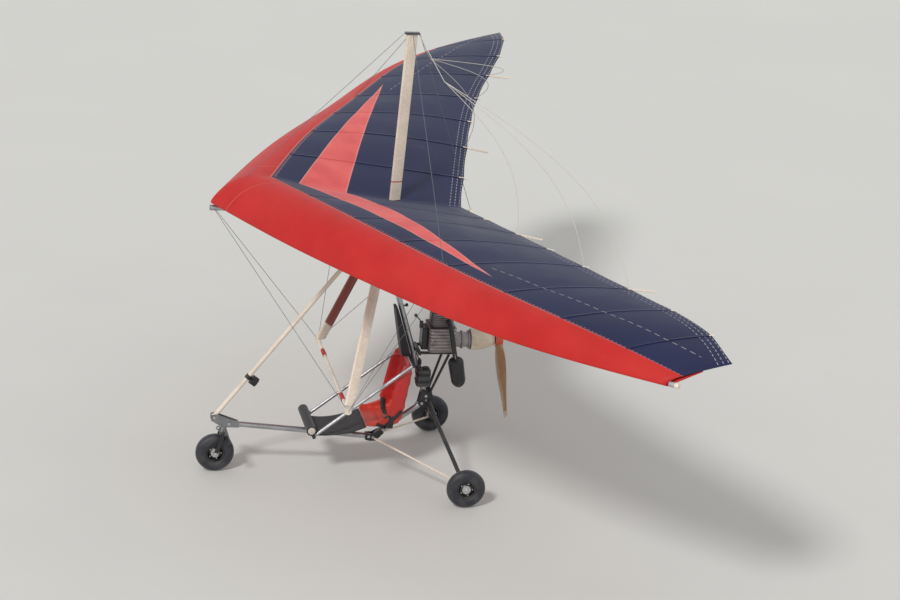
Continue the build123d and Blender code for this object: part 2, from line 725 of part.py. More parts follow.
# Hang bracket: two plates from the keel's sides down to the pitch bolt
bracket_half = 28
with BuildPart() as hang_bracket:
    keel_here = between(keel_nose, keel_tail, hang_bolt[0])
    for side in (-1, 1):
        side_profile(
            [
                (hang_bolt[0] - bracket_half, keel_here + 10),
                (hang_bolt[0] - bracket_half, keel_here - 20),
                (hang_bolt[0] - 16, pitch_height - 12),
                (hang_bolt[0] + 16, pitch_height - 12),
                (hang_bolt[0] + bracket_half, keel_here - 20),
                (hang_bolt[0] + bracket_half, keel_here + 10),
            ],
            plate_thickness,
            side * plate_offset,
        )
    bolt_bore = pitch_bolt_diameter + 2 * running
    bar(pitch_bolt_point - bolt_half, pitch_bolt_point + bolt_half, bolt_bore, mode=Mode.SUBTRACT)
hang_bracket.part.label = "hang_bracket"
export_step(hang_bracket.part, "parts/hang_bracket.step")

# Apex plates on the keel, that the control frame's uprights bolt to
apex_height = between(keel_nose, keel_tail, apex_station)
with BuildPart() as apex_plates:
    for side in (-1, 1):
        side_profile(
            [
                (apex_station - 12, apex_height + 8),
                (apex_station - 12, apex_height - 60),
                (apex_station + 44, apex_height - 60),
                (apex_station + 44, apex_height + 8),
            ],
            plate_thickness,
            side * plate_offset,
        )
apex_plates.part.label = "apex_plates"
export_step(apex_plates.part, "parts/apex_plates.step")

# Control frame: two faired uprights and the base bar between their feet
upright_chord, upright_thickness = 84, 30
upright_top = at(plate_face + upright_thickness / 2 + touch, apex_station, apex_height - 26)
corner_point = at(corner_spread, *corner)
upright_way = (upright_top - corner_point).normalized()
upright_foot = corner_point + upright_way * 36
with BuildPart() as uprights:
    for turn in (lambda p: p, mirrored):
        fairing(turn(upright_foot), turn(upright_top), upright_chord, upright_thickness)
uprights.part.label = "uprights"
export_step(uprights.part, "parts/uprights.step")

# Base bar, with a collar and a round tang at each end for the stays
collar_diameter = 38
tang_diameter, tang_thickness = 56, 6
tang_point = corner_point + Vector(30, 0, 0)
with BuildPart() as base_bar:
    bar(mirrored(corner_point), corner_point, base_bar_diameter)
    tang_half = Vector(tang_thickness / 2, 0, 0)
    for turn in (lambda p: p, mirrored):
        bar(turn(corner_point - Vector(40, 0, 0)), turn(tang_point), collar_diameter)
        bar(turn(tang_point - tang_half), turn(tang_point + tang_half), tang_diameter)
base_bar.part.label = "base_bar"
export_step(base_bar.part, "parts/base_bar.step")

# Kingpost, standing on the keel, with the cap that the upper stays leave
kingpost_foot = at(0, kingpost_station, between(keel_nose, keel_tail, kingpost_station) + tube_r + 1.8)
kingpost_head = at(0, *kingpost_top)
cap_width, cap_length, cap_height = 44, 118, 12
cap_middle = kingpost_head + Vector(0, 6, 2)
with BuildPart() as kingpost:
    fairing(kingpost_foot, kingpost_head, 92, 30)
    with Locations(cap_middle):
        Box(cap_width, cap_length, cap_height)
kingpost.part.label = "kingpost"
export_step(kingpost.part, "parts/kingpost.step")

# Sail sections: span, leading edge station and height, trailing edge station and height,
# height of the crest over the chord, and height of the rear skin at its middle
sail_sections = [
    (pocket_width / 2, 20, 2345, 2060, 2304, 215, 70),
    (1000, 543, 2332, 2299, 2444, 230, 150),
    (2000, 1172, 2323, 2579, 2558, 195, 130),
    (3000, 1826, 2361, 2965, 2617, 150, 100),
    (3600, 2340, 2400, 3150, 2630, 80, 55),
    (4000, 2737, 2428, 3200, 2575, 22, 14),
]
crest_share = 0.235
edge_depth = 22  # the lower skin starts this far under the leading edge


def sail_points(section):
    """The corners of one sail section, in its own plane: nose, crest, tail and the lower skin's ends."""
    _, s_le, z_le, s_te, z_te, crest_height, rear_height = section

    def over(share, height):
        y = s_le + share * (s_te - s_le) - overall_length / 2
        return Vector(y, z_le + share * (z_te - z_le) + height)

    nose, crest, tail = over(0, 0), over(crest_share, crest_height), over(1, 0)
    under = over(0.008, -edge_depth)
    brow = over(0.07, crest_height * 0.72)
    top = Edge.make_three_point_arc(crest, over(0.62, rear_height), tail)
    join = top @ 0.42 - Vector(0, skin)
    belly = Vector(crest.X, between((under.X, under.Y), (join.X, join.Y), crest.X))
    return nose, brow, crest, tail, under, belly, join, top


def sail_section(section, side, zone):
    """The face of one sail section: the front cell's skins, or the skins behind the crest."""
    nose, brow, crest, tail, under, belly, join, top = sail_points(section)
    thick = Vector(0, skin)
    inset = Vector(skin * 0.8, 0)
    with BuildSketch(Plane(origin=(side * section[0], 0, 0), x_dir=(0, 1, 0), z_dir=(1, 0, 0))) as face:
        with BuildLine():
            if zone == "front":
                ThreePointArc(nose, brow, crest)
                Line(crest, crest - thick)
                ThreePointArc(crest - thick, brow - thick * 0.9 + inset * 0.4, nose + inset)
                ThreePointArc(nose + inset, (nose + under) * 0.5 + inset * 0.4, under + inset + thick)
                Line(under + inset + thick, belly + thick)
                Line(belly + thick, belly)
                Line(belly, under)
                ThreePointArc(under, (nose + under) * 0.5 - inset, nose)
            else:
                ThreePointArc(crest, top @ 0.5, tail)
                Line(tail, tail - thick)
                ThreePointArc(tail - thick, top @ 0.7 - thick, join)
                Line(join, belly)
                Line(belly, belly + thick)
                Line(belly + thick, top @ 0.33 - thick)
                ThreePointArc(top @ 0.33 - thick, top @ 0.17 - thick, crest - thick)
                Line(crest - thick, crest)
        make_face()
    return face.sketch


for zone, node in (("front", "leading_edge"), ("rear", "sail")):
    with BuildPart() as panel:
        for side in (1, -1):
            loft([sail_section(section, side, zone) for section in sail_sections])
        if zone == "rear":
            with BuildSketch(Plane.XY.offset(keel_tail[1])) as kingpost_hole:
                with Locations((0, kingpost_station + 8 - overall_length / 2)):
                    Ellipse(24, 62)
            extrude(kingpost_hole.sketch, amount=400, mode=Mode.SUBTRACT)
    panel.part.label = node
    export_step(panel.part, f"parts/{node}.step")

# Keel pocket: the web of cloth that joins the two halves of the sail to the keel
with BuildPart() as pocket:
    web = pocket_width - 2 * touch
    for outline in (
        [(120, 0), (1440, 0), (1440, 2345), (1100, 2400), (500, 2440), (120, 2340)],
        [(1580, 0), (2050, 0), (2050, 2294), (1580, 2320)],
    ):
        seated = [(s, z or between(keel_nose, keel_tail, s) + tube_r + touch) for s, z in outline]
        side_profile(seated, web)
pocket.part.label = "keel_pocket"
export_step(pocket.part, "parts/keel_pocket.step")

# Leading edge tube ends that stick out of the sail tips
tip_tube_diameter = 38
with BuildPart() as tip_tubes:
    tip_x = sail_sections[-1][0] + 12.8
    for turn in (lambda p: p, mirrored):
        bar(turn(at(tip_x, 2752, 2430)), turn(at(tip_x + 54, 2804, 2434)), tip_tube_diameter)
tip_tubes.part.label = "tip_tubes"
export_step(tip_tubes.part, "parts/tip_tubes.step")

# Main stays: below, from the control frame's corners; above, from the kingpost's cap
stay_section = sail_sections[2]
_, _, stay_crest, _, _, stay_belly, _, _ = sail_points(stay_section)
stay_side = tube_r + wire_diameter / 2 + touch
wire_r = wire_diameter / 2
nose_tang = at(stay_side, keel_nose[0] + 30, keel_nose[1])
tail_tang = at(stay_side, keel_tail[0] - 40, keel_tail[1])
side_tang = Vector(stay_section[0], stay_belly.X, stay_belly.Y - 2 * touch - wire_r)
with BuildPart() as lower_stays:
    for turn in (lambda p: p, mirrored):
        for end, clear in ((nose_tang, 31.2), (side_tang, 8.6), (tail_tang, 31.2)):
            start = tang_point + (end - tang_point).normalized() * clear
            bar(turn(start), turn(end), wire_diameter)
lower_stays.part.label = "lower_stays"
export_step(lower_stays.part, "parts/lower_stays.step")

crest_tang = Vector(stay_section[0], stay_crest.X, stay_crest.Y + 2 * touch + wire_r)
cap_side = Vector(cap_width / 2 + wire_r, 0, 0)
cap_end = Vector(0, cap_length / 2 + wire_r + touch, 0)
with BuildPart() as upper_stays:
    bar(cap_middle + cap_side, crest_tang, wire_diameter)
    bar(cap_middle - cap_side, mirrored(crest_tang), wire_diameter)
    bar(cap_middle - cap_end, at(0, keel_nose[0] + 40, keel_nose[1] + tube_r + wire_r), wire_diameter)
    bar(cap_middle + cap_end, at(0, keel_tail[0] - 20, keel_tail[1] + tube_r + wire_r), wire_diameter)
upper_stays.part.label = "upper_stays"
export_step(upper_stays.part, "parts/upper_stays.step")
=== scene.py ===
"""How a single-seat flex-wing microlight trike looks, parked on its three wheels.

Metres. +Z is up, the nose points to -Y and +X is the port side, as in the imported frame.
"""
from cmath import exp, phase
from math import cos, pi, radians, sin

import bmesh
import bpy
import numpy as np
from mathutils import Matrix, Vector


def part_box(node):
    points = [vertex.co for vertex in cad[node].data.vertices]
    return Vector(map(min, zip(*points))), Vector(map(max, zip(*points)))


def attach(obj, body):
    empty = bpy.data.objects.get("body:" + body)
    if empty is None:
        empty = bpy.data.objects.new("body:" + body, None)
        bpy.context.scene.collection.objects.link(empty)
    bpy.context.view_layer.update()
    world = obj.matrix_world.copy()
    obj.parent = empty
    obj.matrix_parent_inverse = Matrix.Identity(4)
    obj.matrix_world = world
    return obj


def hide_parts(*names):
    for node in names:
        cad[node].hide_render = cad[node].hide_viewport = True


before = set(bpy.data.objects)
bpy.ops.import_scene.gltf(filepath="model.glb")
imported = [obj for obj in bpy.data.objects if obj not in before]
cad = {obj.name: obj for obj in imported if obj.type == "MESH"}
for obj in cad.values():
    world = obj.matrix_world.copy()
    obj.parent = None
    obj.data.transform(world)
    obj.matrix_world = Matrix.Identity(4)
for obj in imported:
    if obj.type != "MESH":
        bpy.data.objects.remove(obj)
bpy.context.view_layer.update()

# Camera: a long lens far out on the port side, a little above the wing, rolled as the
# photograph is. It looks at a point between the seat and the engine.
scene = bpy.context.scene
scene.view_settings.view_transform = "Standard"
camera_place = Vector((25.337, -5.301, 11.405))
camera_target = Vector((-0.183, 0.471, 1.425))
camera_roll = radians(4.6073)
camera = bpy.data.objects.new("camera", bpy.data.cameras.new("camera"))
camera.data.sensor_width = 36
camera.data.lens = 136.07
camera.data.clip_end = 300
aim = (camera_target - camera_place).to_track_quat("-Z", "Y").to_matrix().to_4x4()
camera.matrix_world = Matrix.Translation(camera_place) @ aim @ Matrix.Rotation(camera_roll, 4, "Z")
scene.collection.objects.link(camera)
scene.camera = camera


# Studio: a wide pale floor, one soft sun high on the port side and an even dome of light. The
# dome shows pale to the camera and in reflections, and lights the aircraft at a lower strength.
def paint(red, green, blue):
    """A colour as it looks on a screen, 0 to 255, in the linear values of the shaders."""
    return (*[((c / 255 + 0.055) / 1.055) ** 2.4 for c in (red, green, blue)], 1)


def add(tree, kind, feeds=(), **settings):
    """A node of one kind, set and fed. Feeds go by the name or number of the socket."""
    made = tree.nodes.new("ShaderNode" + kind)
    for key, value in settings.items():
        setattr(made, key, value)
    for key, source in dict(feeds).items():
        if isinstance(source, bpy.types.NodeSocket):
            tree.links.new(source, made.inputs[key])
        else:
            made.inputs[key].default_value = source
    return made


def calc(tree, operation, *values):
    """The result of one sum on sockets and numbers."""
    return add(tree, "Math", enumerate(values), operation=operation).outputs[0]


def blend(tree, share, first, second):
    """The colour between two, by a share from 0 to 1."""
    return add(tree, "Mix", {0: share, 6: first, 7: second}, data_type="RGBA").outputs[2]


def ramp(tree, value, low, high, to_low=0.0, to_high=1.0):
    """A value taken from one span of numbers to another, and kept inside it."""
    return add(tree, "MapRange", {0: value, 1: low, 2: high, 3: to_low, 4: to_high}).outputs[0]


dome_light, dome_shown, dome_strength = paint(255, 252, 247), paint(232, 236, 238), 0.62
dome = bpy.data.worlds.new("dome")
dome.use_nodes = True
tree = dome.node_tree
rays = add(tree, "LightPath").outputs
seen = calc(tree, "MAXIMUM", calc(tree, "MAXIMUM", rays["Is Camera Ray"], rays["Is Glossy Ray"]),
            rays["Is Transmission Ray"])
background = tree.nodes["Background"].inputs
tree.links.new(blend(tree, seen, dome_light, dome_shown), background[0])
tree.links.new(ramp(tree, seen, 0, 1, dome_strength, 1.0), background[1])
scene.world = dome

sun = bpy.data.objects.new("sun", bpy.data.lights.new("sun", "SUN"))
sun.data.energy = 1.7
sun.data.angle = radians(9)
sun.data.color = (1, 0.97, 0.92)
sun.rotation_euler = Vector((0.62, -0.5, 0.72)).to_track_quat("Z", "Y").to_euler()
scene.collection.objects.link(sun)

floor_dark, floor_pale = paint(206, 208, 208), paint(214, 216, 216)
floor_mesh = bmesh.new()
bmesh.ops.create_circle(floor_mesh, cap_ends=True, segments=96, radius=90)
floor = bpy.data.objects.new("floor", bpy.data.meshes.new("floor"))
floor_mesh.to_mesh(floor.data)
floor_mesh.free()
floor_finish = bpy.data.materials.new("floor")
floor_finish.use_nodes = True
tree = floor_finish.node_tree
place = add(tree, "TexCoord").outputs["Object"]
mottle = add(tree, "TexNoise", {"Vector": place, "Scale": 0.6, "Detail": 6.0}).outputs[0]
floor_shade = tree.nodes["Principled BSDF"].inputs
floor_shade["Roughness"].default_value = 0.85
tree.links.new(blend(tree, mottle, floor_dark, floor_pale), floor_shade["Base Color"])
floor.data.materials.append(floor_finish)
scene.collection.objects.link(floor)


# Surface effects that the finishes share. Weathering lays soft dirt and fine wear over a
# paint, metal or plastic; cloth gives a woven relief, soft creases and an uneven fade, and
# paints shade into the hollows of its creases and weave.
def effect(name, inputs):
    """An empty group with named inputs that puts out a colour, a roughness and a height."""
    group = bpy.data.node_groups.new(name, "ShaderNodeTree")
    group.interface.new_socket("Place", in_out="INPUT", socket_type="NodeSocketVector")
    for label, default in inputs.items():
        kind = "NodeSocketColor" if isinstance(default, tuple) else "NodeSocketFloat"
        group.interface.new_socket(label, in_out="INPUT", socket_type=kind).default_value = default
    for label, kind in (("Colour", "Color"), ("Roughness", "Float"), ("Height", "Float")):
        group.interface.new_socket(label, in_out="OUTPUT", socket_type="NodeSocket" + kind)
    return group, group.nodes.new("NodeGroupInput").outputs, group.nodes.new("NodeGroupOutput").inputs


def times(tree, *values):
    """Two sockets or numbers multiplied."""
    return calc(tree, "MULTIPLY", *values)


def plus(tree, *values):
    """Two sockets or numbers added."""
    return calc(tree, "ADD", *values)


white = (1.0, 1.0, 1.0, 1.0)
weathering, given, put = effect("weathering", {
    "Colour": white, "Dirt": (0.2, 0.18, 0.15, 1.0), "Cover": 0.3, "Scale": 8.0, "Gloss": 0.4,
})
tree = weathering
broad = add(tree, "TexNoise", {"Vector": given["Place"], "Scale": given["Scale"], "Detail": 5.0}).outputs[0]
fine_scale = times(tree, given["Scale"], 11.0)
fine = add(tree, "TexNoise", {"Vector": given["Place"], "Scale": fine_scale, "Detail": 3.0}).outputs[0]
soiled = times(tree, ramp(tree, broad, 0.46, 0.74), given["Cover"])
shade = ramp(tree, fine, 0.3, 0.7, 0.9, 1.06)
tone = add(tree, "HueSaturation", {"Value": shade, "Color": given["Colour"]}).outputs[0]
tree.links.new(blend(tree, soiled, tone, given["Dirt"]), put["Colour"])
rough = plus(tree, given["Gloss"], times(tree, soiled, 0.3))
tree.links.new(plus(tree, rough, ramp(tree, fine, 0.3, 0.7, -0.07, 0.07)), put["Roughness"])
tree.links.new(plus(tree, fine, times(tree, broad, 2.0)), put["Height"])

cloth, given, put = effect("cloth", {
    "Colour": white, "Fade": white, "Threads": 900.0, "Creases": 6.0, "Gloss": 0.7,
})
tree = cloth
axes = add(tree, "SeparateXYZ", {0: add(tree, "VectorMath", {0: given["Place"], 3: given["Threads"]},
                                        operation="SCALE").outputs[0]}).outputs
waves = [calc(tree, "SINE", axis) for axis in axes]
weave = plus(tree, times(tree, waves[0], waves[1]), times(tree, waves[1], waves[2]))
crease = add(tree, "TexNoise", {"Vector": given["Place"], "Scale": given["Creases"], "Detail": 4.0,
                                "Distortion": 0.8}).outputs[0]
worn = add(tree, "TexNoise", {"Vector": given["Place"], "Scale": 2.3, "Detail": 6.0}).outputs[0]
# Painted shade: the colour darkens in the hollows of the creases and weave that also give the relief.
shade = ramp(tree, plus(tree, crease, times(tree, weave, 0.04)), 0.3, 0.7, 0.92, 1.05)
tone = add(tree, "HueSaturation", {"Value": shade, "Color": given["Colour"]}).outputs[0]
tree.links.new(blend(tree, ramp(tree, worn, 0.4, 0.75, 0.0, 0.55), tone, given["Fade"]), put["Colour"])
tree.links.new(plus(tree, given["Gloss"], ramp(tree, worn, 0.3, 0.7, -0.06, 0.06)), put["Roughness"])
tree.links.new(plus(tree, crease, times(tree, weave, 0.012)), put["Height"])


def finish(name, group, values, relief=0.002, strength=0.5, **shader):
    """A material in which a group gives colour, roughness and height; the rest is the shader's own."""
    made = bpy.data.materials.new(name)
    made.use_nodes = True
    tree = made.node_tree
    surface = tree.nodes["Principled BSDF"]
    for label, value in shader.items():
        surface.inputs[label.replace("_", " ")].default_value = value
    place = add(tree, "TexCoord").outputs["Object"]
    source = add(tree, "Group", {"Place": place, **values}, node_tree=group)
    bump = add(tree, "Bump", {"Height": source.outputs["Height"], "Distance": relief, "Strength": strength})
    tree.links.new(source.outputs["Colour"], surface.inputs["Base Color"])
    tree.links.new(source.outputs["Roughness"], surface.inputs["Roughness"])
    tree.links.new(bump.outputs[0], surface.inputs["Normal"])
    return made


def dress(material, *names):
    """Gives a material to CAD nodes."""
    for name in names:
        cad[name].data.materials.clear()
        cad[name].data.materials.append(material)


# Frame finishes: cream paint on the struts and the base bar, plain anodised tube for the long
# members, black paint on the gear and engine mounts, and plain alloy plate where tubes join.
def weathered(name, colour, dirt, cover, scale, gloss, **others):
    """A weathered finish, by its colour, its dirt, the dirt's cover and scale, and its roughness."""
    values = {"Colour": paint(*colour), "Dirt": paint(*dirt), "Cover": cover, "Scale": scale, "Gloss": gloss}
    return finish(name, weathering, values, **others)


cream = (228, 217, 203), (176, 160, 142), 0.35, 5.0, 0.34
cream_paint = weathered("cream_paint", *cream, Coat_Weight=0.25, Coat_Roughness=0.25)
silver_tube = weathered("silver_tube", (178, 180, 184), (120, 112, 104), 0.4, 9.0, 0.36, Metallic=0.85)
black_paint = weathered("black_paint", (30, 31, 36), (84, 80, 78), 0.35, 9.0, 0.42, Coat_Weight=0.2,
                        Coat_Roughness=0.3)
plate_alloy = weathered("plate_alloy", (150, 152, 156), (90, 84, 78), 0.45, 14.0, 0.42, Metallic=0.9)
dress(cream_paint, "front_strut", "base_bar", "drag_struts")
dress(silver_tube, "base_tube", "rear_tube", "mast", "seat_side_tubes", "keel_tube", "tip_tubes")
dress(black_paint, "nose_fork", "base_plates", "mast_foot", "gear_legs", "seat_cross_tubes",
      "engine_bearers", "engine_struts", "intake_box")
dress(plate_alloy, "steering_head", "nose_plates", "mast_head", "hang_block", "hang_bracket", "apex_plates")


# Sail: a double-surface wing of woven polyester on an alloy frame. The leading panel wraps
# round the nose in red, the upper panel behind the crest is navy with a red flash, and the
# lower panel closes the front half. Each is one sheet, stretched over battens and tubes.
sail_columns = np.array([  # span, leading edge y and z, trailing edge y and z, crest, rear rise
    (0.004, -1.580, 2.345, 0.460, 2.304, 0.215, 0.070),
    (1.000, -1.057, 2.332, 0.699, 2.444, 0.230, 0.150),
    (2.000, -0.428, 2.323, 0.979, 2.558, 0.195, 0.130),
    (3.000, 0.226, 2.361, 1.365, 2.617, 0.150, 0.100),
    (3.600, 0.740, 2.400, 1.550, 2.630, 0.080, 0.055),
    (4.000, 1.137, 2.428, 1.600, 2.575, 0.022, 0.014),
])
brow_share, crest_share, rear_share, join_share = 0.07, 0.235, 0.62, 0.42
brow_rise = 0.72  # of the crest's rise
lip_share, lip_drop, skin_gap = 0.008, 0.022, 0.008
battens = (0.5, 1.05, 1.55, 2.05, 2.6, 3.1, 3.6)
billow, scallop = 0.006, 0.008
tip_x = float(sail_columns[-1, 0])


def natural_spline(xs, values, x):
    """The smooth curve through points with free ends, at x."""
    count, steps = len(xs), np.diff(xs)
    matrix, side = np.eye(count), np.zeros(count)
    for i in range(1, count - 1):
        matrix[i, i - 1 : i + 2] = steps[i - 1], 2 * (steps[i - 1] + steps[i]), steps[i]
        side[i] = 3 * ((values[i + 1] - values[i]) / steps[i] - (values[i] - values[i - 1]) / steps[i - 1])
    bend = np.linalg.solve(matrix, side)
    i = min(max(int(np.searchsorted(xs, x)) - 1, 0), count - 2)
    slope = (values[i + 1] - values[i]) / steps[i] - steps[i] * (2 * bend[i] + bend[i + 1]) / 3
    t = x - xs[i]
    return values[i] + t * (slope + t * (bend[i] + t * (bend[i + 1] - bend[i]) / (3 * steps[i])))


def arc(start, middle, end, share):
    """The point at a share of the arc through three points, each y + z j."""
    ratio = (end - start) / (middle - start)
    centre = start + (middle - start) * (ratio - abs(ratio) ** 2) / (2j * ratio.imag)
    return centre + (start - centre) * exp(1j * share * phase((end - centre) / (start - centre)))


def sail_section(span):
    """The section at a span, each point y + z j: lip, nose, brow, crest, rear, tail and join."""
    le_y, le_z, te_y, te_z, crest_rise, rear_rise = (
        natural_spline(sail_columns[:, 0], sail_columns[:, k], abs(span)) for k in range(1, 7)
    )

    def over(share, rise):
        return complex(le_y + share * (te_y - le_y), le_z + share * (te_z - le_z) + rise)

    nose, brow, crest = over(0, 0), over(brow_share, crest_rise * brow_rise), over(crest_share, crest_rise)
    rear, tail = over(rear_share, rear_rise), over(1, 0)
    join = arc(crest, rear, tail, join_share) - skin_gap * 1j
    return over(lip_share, -lip_drop), nose, brow, crest, rear, tail, join


def between_battens(span):
    """How far a span lies between two battens: 0 at a batten and 1 midway."""
    stops = (0, *battens, tip_x)
    i = min(max(int(np.searchsorted(stops, abs(span))) - 1, 0), len(stops) - 2)
    return sin(pi * (abs(span) - stops[i]) / (stops[i + 1] - stops[i]))


wrap_share = 0.1  # the part of the leading panel that turns under the nose


def sail_point(span, panel, share, off=0.0):
    """A point of a sail panel, by its span and its share of the way along that panel."""
    lip, nose, brow, crest, rear, tail, join = sail_section(span)
    soft = between_battens(span)
    if panel == "lead" and share < wrap_share:
        point = arc(lip, (lip + nose) / 2 - skin_gap, nose, share / wrap_share)
        out = -1
    elif panel == "lead":
        along = (share - wrap_share) / (1 - wrap_share)
        point = arc(nose, brow, crest, along)
        out = 1j + (brow - nose).imag * -1
    elif panel == "upper":
        point = arc(crest, rear, tail, share) + 1j * billow * soft * sin(pi * share ** 0.7)
        point -= scallop * soft * share ** 6
        out = 1j
    else:
        point = lip + (join - lip) * share - 1j * billow * soft * sin(pi * share)
        out = -1j
    point += out * off
    return Vector((span, point.real, point.imag))


def sail_panel(panel, rows, columns=161):
    """One panel of cloth. Its mesh holds each point's share and distance from the trailing edge."""
    bm = bmesh.new()
    bmesh.ops.create_grid(bm, x_segments=columns - 1, y_segments=rows - 1, size=1)
    along = bm.verts.layers.float.new("share")
    hem = bm.verts.layers.float.new("hem")
    for v in bm.verts:
        span, share = v.co.x * tip_x, (v.co.y + 1) / 2
        v[along] = share
        v.co = sail_point(span, panel, share)
        v[hem] = abs(sail_section(span)[5].real - v.co.y)
    bmesh.ops.recalc_face_normals(bm, faces=bm.faces)
    return bm


def piece(name, bm, material, body, sharp=40):
    """A finished mesh as a piece of the aircraft that moves with a body."""
    mesh = bpy.data.meshes.new(name)
    bm.to_mesh(mesh)
    bm.free()
    mesh.shade_smooth()
    mesh.set_sharp_from_angle(angle=radians(sharp))
    mesh.materials.append(material)
    made = bpy.data.objects.new(name, mesh)
    scene.collection.objects.link(made)
    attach(made, body)
    return made


def thicken(made, thickness, offset=0.0):
    """Gives a sheet its wall."""
    wall = made.modifiers.new("wall", "SOLIDIFY")
    wall.thickness = thickness
    wall.offset = offset


def minus(tree, *values):
    """One socket or number less another."""
    return calc(tree, "SUBTRACT", *values)


def near_line(tree, value, place, half, soft=0.0015):
    """A mask that is 1 within half of a place and fades just outside it."""
    gap = calc(tree, "ABSOLUTE", minus(tree, value, place))
    return ramp(tree, gap, half, half + soft, 1.0, 0.0)


def stitched(tree, along, pitch):
    """A mask of dashes along a line."""
    return ramp(tree, calc(tree, "SINE", times(tree, along, 2 * pi / pitch)), -0.4, 0.0)


def seam(tree, colour, thread, value, place, half, along, pitch, strength, soft=0.0015):
    """A colour with dashes of thread over it where a value passes a place."""
    line = times(tree, near_line(tree, value, place, half, soft), stitched(tree, along, pitch))
    return blend(tree, times(tree, line, strength), colour, thread)


def drawn(made, drawing):
    """Lets drawing(tree, axes, colour) lay its marks over a material's colour."""
    tree = made.node_tree
    surface = tree.nodes["Principled BSDF"]
    plain = surface.inputs["Base Color"].links[0].from_socket
    place = next(n for n in tree.nodes if n.type == "TEX_COORD").outputs["Object"]
    axes = add(tree, "SeparateXYZ", {0: place}).outputs
    tree.links.new(drawing(tree, axes, plain), surface.inputs["Base Color"])
    return made


def sail_cloth(name, colour, fade, drawing):
    """Sailcloth over which a drawing lays its stripes and seams."""
    made = finish(name, cloth, {
        "Colour": colour, "Fade": fade, "Threads": 1400.0, "Creases": 3.2, "Gloss": 0.52,
    }, relief=0.012, strength=0.35, Sheen_Weight=0.05, Sheen_Roughness=0.5, Specular_IOR_Level=0.22)
    return drawn(made, drawing)


# The flash lies between two lines, each given by y in the middle and y for each metre of span
flash_front, flash_front_slope = -0.877, 0.468
flash_rear, flash_rear_slope = -0.494, 0.30
flash_dark, flash_pale, flash_edge_highlight = paint(214, 88, 90), paint(226, 104, 102), paint(236, 160, 156)
spar_y, spar_slope, spar_from, spar_to = -1.25, 0.688, 2.15, 3.85
hem_seams, hem_pitch, spar_pitch, edge_pitch = (0.018, 0.055, 0.095), 0.05, 0.07, 0.03
hem_thread, spar_thread, crest_thread = paint(176, 176, 188), paint(178, 170, 178), paint(190, 150, 156)
# The pink is the thread of the seams, and also a painted sheen along the leading panel's crest.
seam_and_sheen_pink, seam_dark = paint(222, 142, 138), paint(150, 30, 30)
nose_cap = 0.2  # half the span of the cap on the nose


def draw_upper(tree, axes, colour):
    """The flash with a painted highlight along its edges, the hem, the spanwise stitching and the seam of
    the upper panel.
    """
    x, y = calc(tree, "ABSOLUTE", axes[0]), axes[1]
    front = minus(tree, minus(tree, y, flash_front), times(tree, x, flash_front_slope))
    rear = minus(tree, calc(tree, "MULTIPLY_ADD", x, flash_rear_slope, flash_rear), y)
    inside = calc(tree, "MINIMUM", front, rear)
    place = add(tree, "TexCoord").outputs["Object"]
    mottle = add(tree, "TexNoise", {"Vector": place, "Scale": 4.0}).outputs[0]
    flash = blend(tree, ramp(tree, mottle, 0.35, 0.65), flash_dark, flash_pale)
    colour = blend(tree, ramp(tree, inside, -0.002, 0.002), colour, flash)
    # Painted highlight: a pale line along both edges of the flash.
    colour = blend(tree, times(tree, near_line(tree, inside, 0.0, 0.004), 0.6), colour, flash_edge_highlight)
    hem = add(tree, "Attribute", attribute_name="hem").outputs["Fac"]
    for gap in hem_seams:
        colour = seam(tree, colour, hem_thread, hem, gap, 0.0022, x, hem_pitch, 0.75)
    spar = minus(tree, y, calc(tree, "MULTIPLY_ADD", x, spar_slope, spar_y))
    starts = ramp(tree, x, spar_from, spar_from + 0.02)
    stops = ramp(tree, x, spar_to, spar_to + 0.02, 1.0, 0.0)
    reach = times(tree, times(tree, starts, stops), 0.7)
    colour = seam(tree, colour, spar_thread, spar, 0.0, 0.003, x, spar_pitch, reach)
    share = add(tree, "Attribute", attribute_name="share").outputs["Fac"]
    return seam(tree, colour, crest_thread, share, 0.012, 0.003, x, edge_pitch, 0.5, 0.002)


def draw_lead(tree, axes, colour):
    """A painted sheen along the top edge of the leading panel by the crest, the seam of its nose cap and its
    stitching.
    """
    x = calc(tree, "ABSOLUTE", axes[0])
    share = add(tree, "Attribute", attribute_name="share").outputs["Fac"]
    # Painted sheen: a pale pink band along the top of the leading panel, where it meets the crest.
    colour = blend(tree, times(tree, ramp(tree, share, 0.972, 0.978), 0.55), colour, seam_and_sheen_pink)
    colour = blend(tree, times(tree, near_line(tree, x, nose_cap, 0.002), 0.35), colour, seam_and_sheen_pink)
    for place in (0.5, 0.94):
        colour = seam(tree, colour, seam_dark, share, place, 0.0035, x, edge_pitch, 0.3, 0.002)
    return colour


def draw_under(tree, axes, colour):
    """The lower panel is plain but for the stitching near its rear edge."""
    x = calc(tree, "ABSOLUTE", axes[0])
    share = add(tree, "Attribute", attribute_name="share").outputs["Fac"]
    return seam(tree, colour, seam_and_sheen_pink, share, 0.97, 0.004, x, edge_pitch, 0.5, 0.002)


sail_red, sail_red_fade = paint(188, 34, 32), paint(200, 54, 50)
sail_navy, sail_navy_fade = paint(25, 32, 68), paint(36, 42, 82)
lead_cloth = sail_cloth("lead_cloth", sail_red, sail_red_fade, draw_lead)
upper_cloth = sail_cloth("upper_cloth", sail_navy, sail_navy_fade, draw_upper)
under_cloth = sail_cloth("under_cloth", sail_red, sail_red_fade, draw_under)

cloth_thickness = 0.0015
lead = piece("sail_lead_panel", sail_panel("lead", 27), lead_cloth, "wing")
upper = piece("sail_upper_panel", sail_panel("upper", 45), upper_cloth, "wing")
under = piece("sail_lower_panel", sail_panel("under", 21), under_cloth, "wing")
for panel, flat in ((lead, (0.62, 9.7)), (upper, (1.7, 8.0)), (under, (1.2, 8.0))):
    thicken(panel, cloth_thickness)
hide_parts("leading_edge")
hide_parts("sail")
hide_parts("leading_edge", "sail")
dress(under_cloth, "leading_edge")
dress(upper_cloth, "sail", "keel_pocket")


